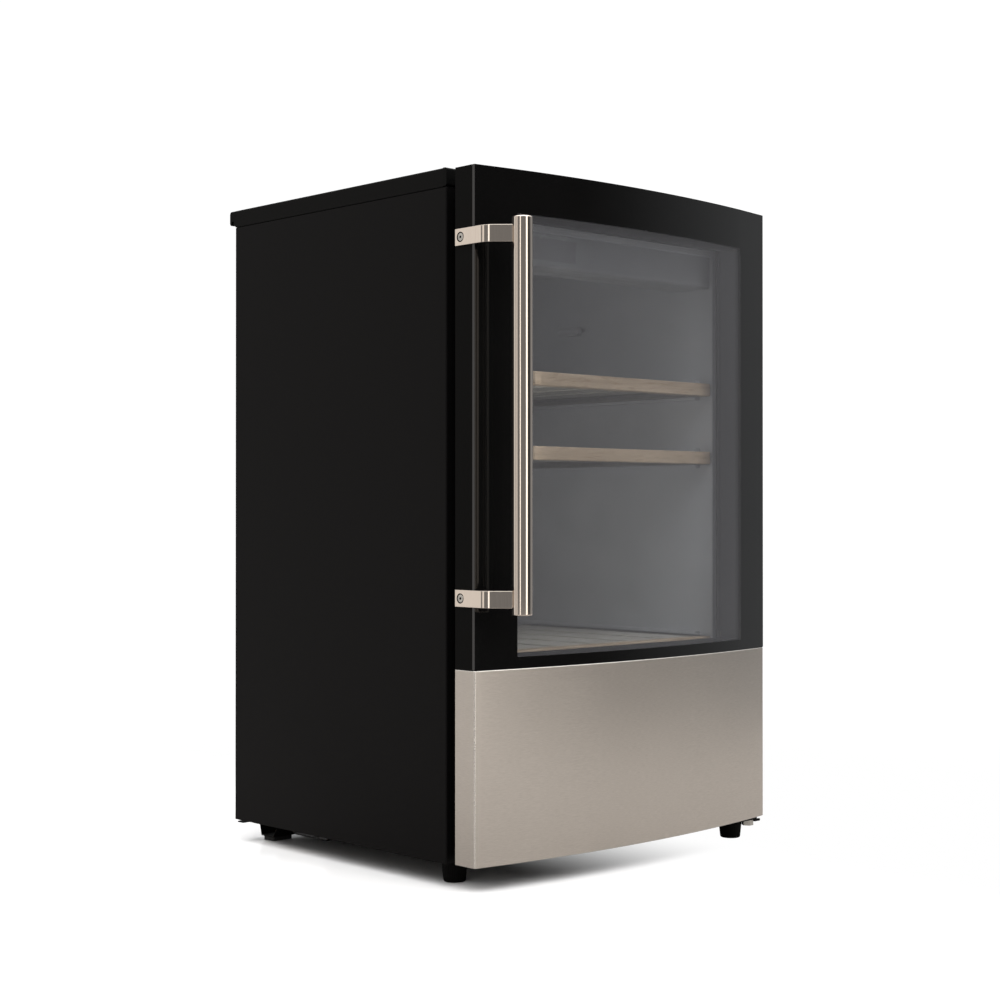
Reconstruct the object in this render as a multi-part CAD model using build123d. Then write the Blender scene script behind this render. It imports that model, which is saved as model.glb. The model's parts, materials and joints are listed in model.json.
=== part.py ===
"""Under-counter drinks fridge: black cabinet, full-height door with a curved glass front.

Millimetres, +X to the right, +Y to the back, +Z up. While a piece is drawn, y is its depth behind
the door's two front corners and the floor lies at FLOOR. save() then moves it so that the origin lies
on the floor under the middle of the whole envelope.
"""
import os
from math import cos, radians, sin, sqrt

from build123d import *

# ---- Driving dimensions -------------------------------------------------------------------
WIDTH = 536.0
HEIGHT = 850.0
HALF = WIDTH / 2

# Depths behind the door's front corners
DOOR_BACK = 33.6
CABINET_FRONT = 49.3
CABINET_BACK = 479.4
REAR_TRIM_BACK = 492.0
DOOR_BULGE = 24.4

# Heights
FLOOR = -2.3
CABINET_BOTTOM = 25.5
CABINET_TOP = 826.4
DOOR_BOTTOM = 27.0
DOOR_TOP = 847.0
SEAM = 256.7
WINDOW_BOTTOM = 270.5
WINDOW_TOP = 794.8
WINDOW_HALF = 208.0

# Cabinet shell and cavity
SHEET = 1.0
FLANGE = 18.0
SKIN = 1.5
WORKTOP_SEAM = 1.2
TRIM_DEPTH = 6.5
TRIM_SEAM = 1.8
CAVITY_HALF = 220.0
CAVITY_BACK = 436.0
CAVITY_BOTTOM = 75.0
CAVITY_TOP = 790.0
STEP_FRONT = 256.0
STEP_TOP = 245.0
STEP_FOAM = 42.0
FOAM_HALF = HALF - SHEET
FOAM_FRONT = CABINET_FRONT + SHEET
FOAM_BACK = CABINET_BACK - SHEET
FOAM_BOTTOM = CABINET_BOTTOM + SKIN
FOAM_TOP = CABINET_TOP - SHEET
COMPARTMENT_FRONT = STEP_FRONT + STEP_FOAM
COMPARTMENT_TOP = STEP_TOP - STEP_FOAM
LINER_CORNER = 14.0

# Door build-up
FRONT_RADIUS = (HALF**2 + DOOR_BULGE**2) / (2 * DOOR_BULGE)
ARC_CENTRE = FRONT_RADIUS - DOOR_BULGE
GLASS = 4.0
STEEL_SKIN = 0.8
SPACER = 3.0
PANE_FRONT = 25.0
PANE_LAP = 13.0
PANE_CLEARANCE = 0.5
GASKET_OUTER = 250.0
GASKET_WIDTH = 18.0
GASKET_CLEARANCE = 0.4
POCKET_MARGIN = 16.0
POCKET_FLOOR = 3.0

# Door hinge
HINGE_X = 250.0
HINGE_Y = 13.0
PIN_RADIUS = 4.0
PIN_CLEARANCE = 0.05
HINGE_PLATE = 3.0
HINGE_TOP_Z = DOOR_TOP + 0.4
UPPER_PLATE = 2.2
TONGUE_HALF = 7.5
TONGUE_BACK = 40.0
BUSH_RADIUS = 7.0
BUSH_DEPTH = 22.0
HINGE_PLATE_LEFT = 213.0
HINGE_PLATE_RIGHT = 262.0
HINGE_PLATE_FRONT = 3.0
HINGE_PLATE_BACK = 112.0
HINGE_PLATE_CORNER = 6.0
HINGE_SCREW_EDGE = 10.0
HINGE_SCREW_DEPTHS = (68.0, 100.0)
HINGE_SCREW_RADIUS = 2.1
HINGE_SCREW_HEAD = 4.0
SCREW_HOLE = 2.2
PIN_HEAD_FLATS = 14.0
LOWER_PIN_TOP = 46.0
WASHER_RADIUS = 8.0

# Handle: a tube on two flat bars, each bent once beside the door's front corner
TUBE_RADIUS = 12.0
TUBE_BOTTOM = 322.3
TUBE_TOP = 782.8
TUBE_WALL = 1.5
TUBE_END_WALL = 3.0
TUBE_ROUNDING = 1.8
BAR_THICKNESS = 3.0
BAR_HEIGHT = 20.0
BAR_BACK = 31.0
BAR_BEND = 20.0
BAR_ANGLE = radians(45.0)
BAR_REACH = 35.1
BAR_HEIGHTS = (340.5, 763.8)
BEND_X = -HALF - BAR_THICKNESS + BAR_BEND
BEND_Y = -12.5
BAR_MIDDLE = BAR_BEND - BAR_THICKNESS / 2
TUBE_X = BEND_X - BAR_MIDDLE * cos(BAR_ANGLE) + BAR_REACH * sin(BAR_ANGLE)
TUBE_Y = BEND_Y - BAR_MIDDLE * sin(BAR_ANGLE) - BAR_REACH * cos(BAR_ANGLE)
HANDLE_SCREW_DEPTH = 21.7
HANDLE_SCREW_LENGTH = 20.0
COUNTERSINK_RADIUS = 6.0
HANDLE_SCREW_HEAD = 4.9

# Shelves: name and height of the top of the wooden front bar
SHELF_TOPS = {"bottom": 271.5, "middle": 523.5, "top": 616.5}
SHELF_HALF = 216.0
SHELF_FRONT = 50.0
SHELF_BACK = 406.0
SHELF_BAR_DEPTH = 18.0
SHELF_BAR_HEIGHT = 17.0
SLAT_COUNT = 6
SLAT_PITCH = 68.0
SLAT_WIDTH = 52.0
SLAT_THICKNESS = 9.0
RAIL_INNER = 204.0
RAIL_OUTER = 216.0
RUNNER_INNER = 211.0
RUNNER_THICKNESS = 4.0
RUNNER_GAP = 0.5
RUNNER_Y = (72.0, 410.0)
RAIL_SHEET = 1.2
RAIL_TOP_SOLID = 10.2

# Feet: heights are above the floor, apart from the nuts and the rear feet's tops
FOOT_RADIUS = 15.6
FOOT_BASE_RADIUS = 13.4
FOOT_HEIGHT = 23.8
FOOT_PLACES = {"left": (-233.5, 73.0), "right": (235.0, 31.0)}
FOOT_RECESS_FLOOR = 14.0
FOOT_RECESS_RADIUS = 10.2
STUD_RADIUS = 4.0
STUD_CLEARANCE = 0.05
STUD_BOTTOM = 8.0
NUT_ACROSS_FLATS = 13.0
NUT_BOTTOM = 14.5
REAR_FOOT_X = (206.0, 238.0)
REAR_FOOT_DEPTH = (432.0, 456.0)
REAR_FOOT_TOP = 3.0

# Compressor tray: depth and height of each fold, from the front lip to the raised rear edge
TRAY_HALF = 240.0
TRAY_SHEET = 1.5
TRAY_FOLDS = (
    (COMPARTMENT_FRONT, 24.0), (306.0, 24.0), (314.0, 14.0), (384.0, 14.0), (392.0, 19.0),
    (420.0, 19.0), (431.0, REAR_FOOT_TOP), (457.0, REAR_FOOT_TOP), (462.0, 22.0),
    (474.0, 22.0),
)

# Compressor
COMPRESSOR_X = 40.0
COMPRESSOR_Y = 368.0
COMPRESSOR_BASE = 30.0
SHELL_SIZE = (150.0, 118.0, 130.0)
SHELL_CENTRE_Z = 98.0
SHELL_CORNER = 52.0
SHELL_CROWN = 26.0
WELD_FLANGE_Z = 108.0
WELD_FLANGE_MARGIN = 6.0
FOOT_PLATE_HALF = 92.0
FOOT_PLATE_SHEET = 3.0
MOUNT_HALF = 78.0
MOUNT_PLACES = ((335.0, TRAY_FOLDS[2][1]), (405.0, TRAY_FOLDS[4][1]))
MOUNT_RADIUS = 10.0
MOUNT_HOLE = 4.2
STUB_RADIUS = 4.5
STUB_END = COMPRESSOR_Y + 74.0
DISCHARGE_STUB = (COMPRESSOR_X + 34.0, 60.0)
PROCESS_STUB = (COMPRESSOR_X + 12.0, 88.0)
SUCTION_STUB = (COMPRESSOR_X - 30.0, 122.0)
TERMINAL_SIZE = (23.0, 60.0, 66.0)
TERMINAL_CENTRE_Z = 95.0

# Filter drier and pipes
DRIER_X = -130.0
DRIER_Y = 452.0
DRIER_BOTTOM = 60.0
DRIER_TOP = 158.0
DRIER_RADIUS = 9.0
DRIER_NECK = 3.0
DRIER_NECK_LENGTH = 10.0
DRIER_SHOULDER = 5.5
SUCTION_RADIUS = 3.2
CAPILLARY_RADIUS = 1.2
SUCTION_X = -60.0
CAPILLARY_X = -95.0
PIPE_Y = 466.0
DISCHARGE_RISE_X = 180.0
DISCHARGE_RISE_Z = 120.0
LIQUID_X = -190.0
LIQUID_LOW = 46.0
LIQUID_HIGH = 80.0
CAPILLARY_TURN = 180.0

# Condenser: wires welded on both sides of a serpentine tube
CONDENSER_Y = 485.6
CONDENSER_TUBE = 2.4
CONDENSER_BEND = 12.0
CONDENSER_WIRE = 0.8
CONDENSER_HALF = 205.0
CONDENSER_RETURN_X = -219.0
CONDENSER_INLET_Z = 150.0
CONDENSER_BOTTOM = 270.0
CONDENSER_RUNS = 12
CONDENSER_PITCH = 44.0
CONDENSER_LAST_RISE = 26.0
CONDENSER_TOP_RUN = CONDENSER_BOTTOM + (CONDENSER_RUNS - 1) * CONDENSER_PITCH
WIRE_COUNT = 27
WIRE_PITCH = 15.0
WIRE_OVERHANG = 10.0
BRACKET_X = (170.0, 200.0)
BRACKET_HEIGHT = 16.0
BRACKET_BOTTOMS = (430.0, 700.0)

# Drip tray over the compressor
DRIP_TRAY_HALF = (80.0, 55.0)
DRIP_TRAY_Z = (164.0, 186.0)
DRIP_TRAY_WALL = 2.0
DRIP_TRAY_CORNER = 14.0

# Mains inlet on the rear panel
INLET_X = 150.0
INLET_Z = 228.0
INLET_PLATE = (25.0, 14.0, 2.0)
INLET_COLLAR = (15.0, 11.0, 9.0)
INLET_SOCKET = (12.5, 8.5)
INLET_PIN_PLACES = ((-7.0, 1.0), (7.0, 1.0), (0.0, -3.0))
INLET_PIN = (1.0, 2.0, 8.0)

# Fan and air duct at the back of the cavity
DUCT_HALF = 130.0
DUCT_FRONT = 414.0
DUCT_BOTTOM = 300.0
DUCT_TOP = 762.0
DUCT_WALL = 2.0
FAN_Z = 572.0
FAN_RADIUS = 36.0
FAN_HUB_RADIUS = 13.0
FAN_SHAFT_RADIUS = 1.5
FAN_FRONT = 420.0
FAN_BACK = 428.0
FAN_FRAME = 41.0
FAN_MOTOR_RADIUS = 11.0
BLADE_COUNT = 7
BLADE_PITCH = 32.0
BLADE_CHORD = 11.0
BLADE_THICKNESS = 1.2
GRILLE_RADII = (34.0, 26.0, 18.0)
GRILLE_GAP = 4.5
SLOT_ROWS = 6
SLOT_HALF = 70.0
SLOT_HEIGHT = 4.0
SLOT_PITCH = 9.0

# Evaporator plate behind the duct
PLATE_HALF = 112.0
PLATE_Z = (312.0, 750.0)
CHANNEL_HALF = 100.0
CHANNEL_HEIGHT = 8.0
CHANNEL_PITCH = 28

# Control housing under the cavity ceiling
CONTROL_BACK = 116.0
CONTROL_BOTTOM = 747.0
CONTROL_WALL = 2.0
CONTROL_FRONT = CABINET_FRONT + 4.0
DISPLAY_X = (-166.0, -44.0)
DISPLAY_Z = (756.0, 784.0)
BOARD_FRONT = CONTROL_FRONT + 4.0
BOARD_THICKNESS = 1.6
BOARD_MARGIN = (6.0, 2.0)
CHIP_PLACES = (-150.0, -120.0, -90.0, -66.0)
CHIP_SIZE = 12.0
CHIP_HEIGHT = 3.0
LAMP_HALF = 90.0
LAMP_Y = (CONTROL_FRONT + 18.0, CONTROL_FRONT + 42.0)

# Temperature probe high on the right wall
PROBE_Y = (290.0, 332.0)
PROBE_Z = 706.0
PROBE_RADIUS = 4.2

# The origin's depth behind the door's front corners: half way through the whole envelope
ORIGIN_DEPTH = (TUBE_Y - TUBE_RADIUS + REAR_TRIM_BACK) / 2


FROM_BASE = (Align.CENTER, Align.CENTER, Align.MIN)


# ---- Helpers ------------------------------------------------------------------------------
def save(name, shape):
    """Move a drawn shape's solids into the object's own frame and write them as one file."""
    solids = [Pos(0, -ORIGIN_DEPTH, -FLOOR) * solid for solid in shape.solids()]
    placed = solids[0] if len(solids) == 1 else Compound(solids)
    placed.label = name
    export_step(placed, f"parts/{name}.step")


def block(x, y, z):
    """Box from three (low, high) pairs."""
    size = [high - low for low, high in (x, y, z)]
    centre = [(high + low) / 2 for low, high in (x, y, z)]
    return Pos(*centre) * Box(*size)


def symmetric(half):
    """The pair (-half, half)."""
    return (-half, half)


def rod(start, end, radius):
    """Cylinder between two points."""
    axis = Vector(*end) - Vector(*start)
    base = Plane(origin=start, z_dir=axis)
    return base * Cylinder(radius, axis.length, align=FROM_BASE)


def hexagon_bar(start, end, across_flats):
    """Hexagonal bar between two points."""
    axis = Vector(*end) - Vector(*start)
    outline = RegularPolygon(across_flats / 2, 6, major_radius=False)
    return extrude(Plane(origin=start, z_dir=axis) * outline, amount=axis.length)


def both_sides(shape):
    """A shape and its mirror image across the middle of the object."""
    return [shape, mirror(shape, about=Plane.YZ)]


def group(shapes):
    """Separate solids that share one node."""
    return Compound([solid for shape in shapes for solid in shape.solids()])


def front_depth(x, radius=FRONT_RADIUS):
    """Depth of the door's curved front, or of a curve parallel to it, at one x."""
    return ARC_CENTRE - sqrt(radius**2 - x**2)


def door_slab(half, inset, back, z):
    """Full-depth slice of the door: flat sides and back, curved front set back by inset."""
    radius = FRONT_RADIUS - inset
    corner = front_depth(half, radius)
    arc = ThreePointArc((-half, corner), (0, ARC_CENTRE - radius), (half, corner))
    rest = Polyline((half, corner), (half, back), (-half, back), (-half, corner))
    outline = make_face(Curve() + [arc, rest])
    return Pos(0, 0, z[0]) * extrude(outline, amount=z[1] - z[0])


def edges_along(shape, axis, test):
    """Edges parallel to an axis whose middle passes a test."""
    return [edge for edge in shape.edges().filter_by(axis) if test(edge.center())]


def screw(start, direction, head_radius, head_height, shank_radius, length):
    """Countersunk screw: a cone head that narrows along direction, then its shank."""
    head = Cone(head_radius, shank_radius, head_height, align=FROM_BASE)
    shank_length = length - head_height
    shank = Pos(0, 0, head_height) * Cylinder(shank_radius, shank_length, align=FROM_BASE)
    socket = extrude(RegularPolygon(head_radius * 0.4, 6), amount=head_height * 0.6)
    return Plane(origin=start, z_dir=direction) * (head + shank - socket)


# ---- Cabinet shell ------------------------------------------------------------------------
def side_panel():
    """Left side sheet with return flanges at the front, the back and the top."""
    z = (CABINET_BOTTOM, CABINET_TOP)
    outer = block((-HALF, -HALF + FLANGE), (CABINET_FRONT, CABINET_BACK), z)
    outer = fillet(edges_along(outer, Axis.Z, lambda c: c.X < -HALF + 1), 1.8)
    inner = block((-HALF + SHEET, 0), (FOAM_FRONT, FOAM_BACK), (CABINET_BOTTOM, FOAM_TOP))
    return outer - inner


def rear_panel():
    half = HALF - FLANGE
    return block(symmetric(half), (FOAM_BACK, CABINET_BACK), (COMPARTMENT_TOP, CABINET_TOP))


def worktop():
    """Moulded top board on a slightly narrower base that leaves a shadow seam."""
    base_top = CABINET_TOP + WORKTOP_SEAM
    trim_back = CABINET_FRONT + TRIM_DEPTH
    board = block(symmetric(HALF), (trim_back, CABINET_BACK), (base_top, HEIGHT))
    board = fillet(edges_along(board, Axis.Y, lambda c: c.Z > HEIGHT - 1), 2.0)
    base_y = (CABINET_FRONT + SHEET, CABINET_BACK)
    base = block(symmetric(HALF - 2 * SHEET), base_y, (CABINET_TOP, base_top))
    plug = block(symmetric(HALF - FLANGE), (FOAM_FRONT, FOAM_BACK), (FOAM_TOP, CABINET_TOP))
    return board + base + plug - upper_hinge_pocket()


def upper_hinge_pocket():
    x = (HINGE_PLATE_LEFT, HINGE_PLATE_RIGHT)
    return block(x, (CABINET_FRONT - 1, HINGE_PLATE_BACK), (HINGE_TOP_Z, HEIGHT + 1))


def worktop_front_trim():
    y = (CABINET_FRONT, CABINET_FRONT + TRIM_DEPTH)
    trim = block(symmetric(HALF), y, (CABINET_TOP + TRIM_SEAM, HEIGHT))
    trim = fillet(edges_along(trim, Axis.X, lambda c: c.Y < CABINET_FRONT + 1), 2.5)
    return trim - upper_hinge_pocket()


def worktop_rear_trim():
    """Rear spacer profile that keeps the condenser off the wall."""
    z = (CABINET_TOP + 4, HEIGHT - 0.6)
    trim = block(symmetric(HALF), (CABINET_BACK, REAR_TRIM_BACK), z)
    trim = fillet(edges_along(trim, Axis.X, lambda c: c.Y > REAR_TRIM_BACK - 1), 4.0)
    groove_y = (CABINET_BACK + 4, REAR_TRIM_BACK - 4)
    groove = block(symmetric(HALF + 1), groove_y, (CABINET_TOP, CABINET_TOP + 9.6))
    return trim - groove


def cavity(grow, front):
    """Solid of the cavity's inside (grow 0) or of the liner's outside (grow SKIN)."""
    x = symmetric(CAVITY_HALF + grow)
    top = CAVITY_TOP + grow
    back = CAVITY_BACK + grow
    upper = block(x, (front, back), (STEP_TOP - grow, top))
    upper = fillet(edges_along(upper, Axis.Z, lambda c: c.Y > back - 1), LINER_CORNER + grow)
    return upper + block(x, (front, STEP_FRONT + grow), (CAVITY_BOTTOM - grow, top))


def insulation_foam():
    slab = block(symmetric(FOAM_HALF), (FOAM_FRONT, FOAM_BACK), (FOAM_BOTTOM, FOAM_TOP))
    compartment_z = (0, COMPARTMENT_TOP)
    compartment = block(symmetric(HALF), (COMPARTMENT_FRONT, CABINET_BACK), compartment_z)
    return slab - cavity(SKIN, FOAM_FRONT - 5) - compartment


def inner_liner():
    """One-piece plastic liner with the front flange that the door seal meets."""
    half = HALF - FLANGE
    flange = block(symmetric(half), (CABINET_FRONT, FOAM_FRONT), (FOAM_BOTTOM, CABINET_TOP))
    tub = cavity(SKIN, FOAM_FRONT)
    return flange + tub - cavity(0, CABINET_FRONT - 5)


def base_plate():
    z = (CABINET_BOTTOM, FOAM_BOTTOM)
    plate = block(symmetric(FOAM_HALF), (FOAM_FRONT, COMPARTMENT_FRONT), z)
    x, y = FOOT_PLACES["left"]
    return plate - rod((x, y, 0), (x, y, FOOT_HEIGHT * 2), STUD_RADIUS + STUD_CLEARANCE)


# ---- Feet ---------------------------------------------------------------------------------
def foot(x, y):
    """Tapered levelling foot with a ribbed rim, hollow round its nut, on a threaded stud."""
    head = Cone(FOOT_BASE_RADIUS, FOOT_RADIUS, FOOT_HEIGHT, align=FROM_BASE)
    head = fillet(head.edges().group_by(Axis.Z)[0], 1.5)
    recess = Cylinder(FOOT_RECESS_RADIUS, FOOT_HEIGHT, align=FROM_BASE)
    recess = Pos(0, 0, FOOT_RECESS_FLOOR) * recess
    stud_length = CABINET_BOTTOM + 1.0 - FLOOR - STUD_BOTTOM
    stud = Pos(0, 0, STUD_BOTTOM) * Cylinder(STUD_RADIUS, stud_length, align=FROM_BASE)
    return Pos(x, y, FLOOR) * (head - recess + stud)


def foot_nuts():
    """Welded nuts: the left one under the base plate, the right one under the hinge plate."""
    nuts = []
    for side, top in (("left", CABINET_BOTTOM), ("right", CABINET_BOTTOM - HINGE_PLATE)):
        x, y = FOOT_PLACES[side]
        nut = hexagon_bar((x, y, NUT_BOTTOM), (x, y, top), NUT_ACROSS_FLATS)
        nuts.append(nut - rod((x, y, 0), (x, y, top + 1), STUD_RADIUS + STUD_CLEARANCE))
    return group(nuts)


def rear_feet():
    """Rubber pads under the two rear corners of the compressor tray."""
    pad = block(REAR_FOOT_X, REAR_FOOT_DEPTH, (FLOOR, REAR_FOOT_TOP))
    pad = fillet(edges_along(pad, Axis.Z, lambda c: True), 4.0)
    return group(both_sides(pad))


# ---- Refrigeration ------------------------------------------------------------------------
def compressor_tray():
    """Folded steel tray: low trough at the back that stands on the pads, then a raised hat."""
    upper = [(y, z + TRAY_SHEET) for y, z in reversed(TRAY_FOLDS)]
    outline = make_face(Plane.YZ * Polyline(*TRAY_FOLDS, *upper, close=True))
    sheet = extrude(Pos(-TRAY_HALF, 0, 0) * outline, amount=2 * TRAY_HALF, dir=(1, 0, 0))
    ears = []
    for fold in (0, len(TRAY_FOLDS) - 2):
        (front, z), (back, _) = TRAY_FOLDS[fold:fold + 2]
        ears += both_sides(block((TRAY_HALF - 2, FOAM_HALF), (front, back), (z, z + TRAY_SHEET)))
    return Part() + [sheet, *ears]


def mount_places():
    """Compressor mounting points with the height of the tray's top under each."""
    for x in (COMPRESSOR_X - MOUNT_HALF, COMPRESSOR_X + MOUNT_HALF):
        for y, fold_z in MOUNT_PLACES:
            yield x, y, fold_z + TRAY_SHEET


def compressor():
    """Sealed steel shell in two halves with its weld flange, pipe stubs and foot plate."""
    shell = Box(*SHELL_SIZE)
    shell = fillet(shell.edges().filter_by(Axis.Z), SHELL_CORNER)
    shell = fillet(shell.edges().group_by(Axis.Z)[-1], SHELL_CROWN)
    shell = Pos(COMPRESSOR_X, COMPRESSOR_Y, SHELL_CENTRE_Z) * shell
    flange = Box(SHELL_SIZE[0] + WELD_FLANGE_MARGIN, SHELL_SIZE[1] + WELD_FLANGE_MARGIN, 4)
    flange = fillet(flange.edges().filter_by(Axis.Z), SHELL_CORNER + WELD_FLANGE_MARGIN / 2)
    flange = Pos(COMPRESSOR_X, COMPRESSOR_Y, WELD_FLANGE_Z) * flange
    plate_x = (COMPRESSOR_X - FOOT_PLATE_HALF, COMPRESSOR_X + FOOT_PLATE_HALF)
    plate_z = (COMPRESSOR_BASE, COMPRESSOR_BASE + FOOT_PLATE_SHEET)
    plate = block(plate_x, (COMPRESSOR_Y - 46, COMPRESSOR_Y + 50), plate_z)
    plate = fillet(plate.edges().filter_by(Axis.Z), 12)
    stubs = [
        rod((x, COMPRESSOR_Y + 50, z), (x, STUB_END, z), STUB_RADIUS)
        for x, z in (SUCTION_STUB, PROCESS_STUB, DISCHARGE_STUB)
    ]
    holes = [rod((x, y, 0), (x, y, plate_z[1] + 1), MOUNT_HOLE) for x, y, _ in mount_places()]
    return Part() + [shell, flange, plate, *stubs] - holes


def compressor_mounts():
    """Rubber grommets between the tray and the compressor's foot plate."""
    return group(
        [
            rod((x, y, tray_top), (x, y, COMPRESSOR_BASE), MOUNT_RADIUS)
            for x, y, tray_top in mount_places()
        ]
    )


def compressor_terminal_cover():
    cover = Box(*TERMINAL_SIZE)
    cover = fillet(cover.edges().filter_by(Axis.X), 6)
    cover = fillet(cover.faces().sort_by(Axis.X)[0].edges(), 3)
    flange_side = COMPRESSOR_X - (SHELL_SIZE[0] + WELD_FLANGE_MARGIN) / 2
    return Pos(flange_side - TERMINAL_SIZE[0] / 2, COMPRESSOR_Y, TERMINAL_CENTRE_Z) * cover


def filter_drier():
    """Copper drier: a fat middle with two necks."""
    low, high = DRIER_BOTTOM + DRIER_NECK_LENGTH, DRIER_TOP - DRIER_NECK_LENGTH
    body = rod((DRIER_X, DRIER_Y, low), (DRIER_X, DRIER_Y, high), DRIER_RADIUS)
    body = chamfer(body.edges().group_by(Axis.Z)[0], DRIER_SHOULDER)
    body = chamfer(body.edges().group_by(Axis.Z)[-1], DRIER_SHOULDER)
    neck = rod((DRIER_X, DRIER_Y, DRIER_BOTTOM), (DRIER_X, DRIER_Y, DRIER_TOP), DRIER_NECK)
    return body + neck


def pipe(points, radius, bend):
    """Round pipe along straight runs joined by equal bends."""
    path = FilletPolyline(*points, radius=bend)
    profile = Plane(origin=path @ 0, z_dir=path % 0) * Circle(radius)
    return sweep(profile, path=path)


def refrigerant_pipes():
    discharge_x, discharge_z = DISCHARGE_STUB
    suction_x, suction_z = SUCTION_STUB
    discharge = pipe(
        [
            (discharge_x, STUB_END, discharge_z),
            (discharge_x, PIPE_Y, discharge_z),
            (DISCHARGE_RISE_X, PIPE_Y, discharge_z),
            (DISCHARGE_RISE_X, PIPE_Y, DISCHARGE_RISE_Z),
            (CONDENSER_HALF, PIPE_Y, DISCHARGE_RISE_Z),
            (CONDENSER_HALF, CONDENSER_Y, DISCHARGE_RISE_Z),
            (CONDENSER_HALF, CONDENSER_Y, CONDENSER_INLET_Z),
        ],
        CONDENSER_TUBE,
        9,
    )
    suction = pipe(
        [
            (suction_x, STUB_END, suction_z),
            (suction_x, PIPE_Y - 4, suction_z),
            (SUCTION_X, PIPE_Y - 4, suction_z),
            (SUCTION_X, PIPE_Y - 4, COMPARTMENT_TOP),
        ],
        SUCTION_RADIUS,
        12,
    )
    liquid = pipe(
        [
            (DRIER_X, DRIER_Y, DRIER_BOTTOM),
            (DRIER_X, DRIER_Y, LIQUID_LOW),
            (LIQUID_X, DRIER_Y, LIQUID_LOW),
            (LIQUID_X, CONDENSER_Y, LIQUID_LOW),
            (LIQUID_X, CONDENSER_Y, LIQUID_HIGH),
            (CONDENSER_RETURN_X, CONDENSER_Y, LIQUID_HIGH),
            (CONDENSER_RETURN_X, CONDENSER_Y, CONDENSER_INLET_Z),
        ],
        CONDENSER_TUBE,
        6.5,
    )
    capillary = pipe(
        [
            (DRIER_X, DRIER_Y, DRIER_TOP),
            (DRIER_X, DRIER_Y, CAPILLARY_TURN),
            (CAPILLARY_X, DRIER_Y, CAPILLARY_TURN),
            (CAPILLARY_X, DRIER_Y, COMPARTMENT_TOP),
        ],
        CAPILLARY_RADIUS,
        8,
    )
    return group([discharge, suction, liquid, capillary])


def condenser_tube():
    """Serpentine of level runs, returning down the left side."""
    points = [(CONDENSER_HALF, CONDENSER_Y, CONDENSER_INLET_Z)]
    end = CONDENSER_HALF
    for run in range(CONDENSER_RUNS):
        z = CONDENSER_BOTTOM + run * CONDENSER_PITCH
        points += [(end, CONDENSER_Y, z), (-end, CONDENSER_Y, z)]
        end = -end
    top = CONDENSER_TOP_RUN + CONDENSER_LAST_RISE
    points += [(CONDENSER_HALF, CONDENSER_Y, top), (CONDENSER_RETURN_X, CONDENSER_Y, top)]
    points += [(CONDENSER_RETURN_X, CONDENSER_Y, CONDENSER_INLET_Z)]
    return pipe(points, CONDENSER_TUBE, CONDENSER_BEND)


def condenser_wires():
    """Upright wires welded to the front and the back of the serpentine."""
    offset = CONDENSER_TUBE + CONDENSER_WIRE + 0.05
    bottom = CONDENSER_BOTTOM - WIRE_OVERHANG
    top = CONDENSER_TOP_RUN + WIRE_OVERHANG
    wires = []
    for index in range(WIRE_COUNT):
        x = (index - (WIRE_COUNT - 1) / 2) * WIRE_PITCH
        for y in (CONDENSER_Y - offset, CONDENSER_Y + offset):
            wires.append(rod((x, y, bottom), (x, y, top), CONDENSER_WIRE))
    return group(wires)


def condenser_brackets():
    front = CONDENSER_Y - CONDENSER_TUBE - 2 * CONDENSER_WIRE - 0.1
    brackets = []
    for bottom in BRACKET_BOTTOMS:
        z = (bottom, bottom + BRACKET_HEIGHT)
        brackets += both_sides(block(BRACKET_X, (CABINET_BACK, front), z))
    return group(brackets)


def drip_tray_block(inset, z):
    """Rounded block of the drip tray's outline, set in by inset."""
    half_x, half_y = (half - inset for half in DRIP_TRAY_HALF)
    x = (COMPRESSOR_X - half_x, COMPRESSOR_X + half_x)
    y = (COMPRESSOR_Y - half_y, COMPRESSOR_Y + half_y)
    return fillet(block(x, y, z).edges().filter_by(Axis.Z), DRIP_TRAY_CORNER - inset)


def drip_tray():
    """Open tray over the compressor that catches and evaporates the defrost water."""
    bottom, top = DRIP_TRAY_Z
    inner = drip_tray_block(DRIP_TRAY_WALL, (bottom + DRIP_TRAY_WALL, top + 1))
    return drip_tray_block(0, DRIP_TRAY_Z) - inner


def inlet_block(half_x, half_z, depth, x=INLET_X, z=INLET_Z, start=0.0):
    """Block centred at one place on the rear panel, from start to depth behind it."""
    y = (CABINET_BACK + start, CABINET_BACK + depth)
    return block((x - half_x, x + half_x), y, (z - half_z, z + half_z))


def mains_inlet():
    """Three-pin appliance inlet on the rear panel, above the compressor."""
    body = inlet_block(*INLET_PLATE) + inlet_block(*INLET_COLLAR)
    socket = inlet_block(*INLET_SOCKET, INLET_COLLAR[2] + 1, start=1)
    pins = [
        inlet_block(*INLET_PIN, x=INLET_X + dx, z=INLET_Z + dz, start=1)
        for dx, dz in INLET_PIN_PLACES
    ]
    return body - socket + pins


# ---- Cavity fittings ----------------------------------------------------------------------
def evaporator_plate():
    """Roll-bonded plate with its raised channels, flat against the cavity's back wall."""
    plate = block(symmetric(PLATE_HALF), (CAVITY_BACK - 2, CAVITY_BACK - 0.5), PLATE_Z)
    channel_y = (CAVITY_BACK - 3.5, CAVITY_BACK - 2)
    first, last = int(PLATE_Z[0]) + 10, int(PLATE_Z[1]) - 8
    channels = [
        block(symmetric(CHANNEL_HALF), channel_y, (z, z + CHANNEL_HEIGHT))
        for z in range(first, last, CHANNEL_PITCH)
    ]
    return Part() + [plate, *channels]


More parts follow.
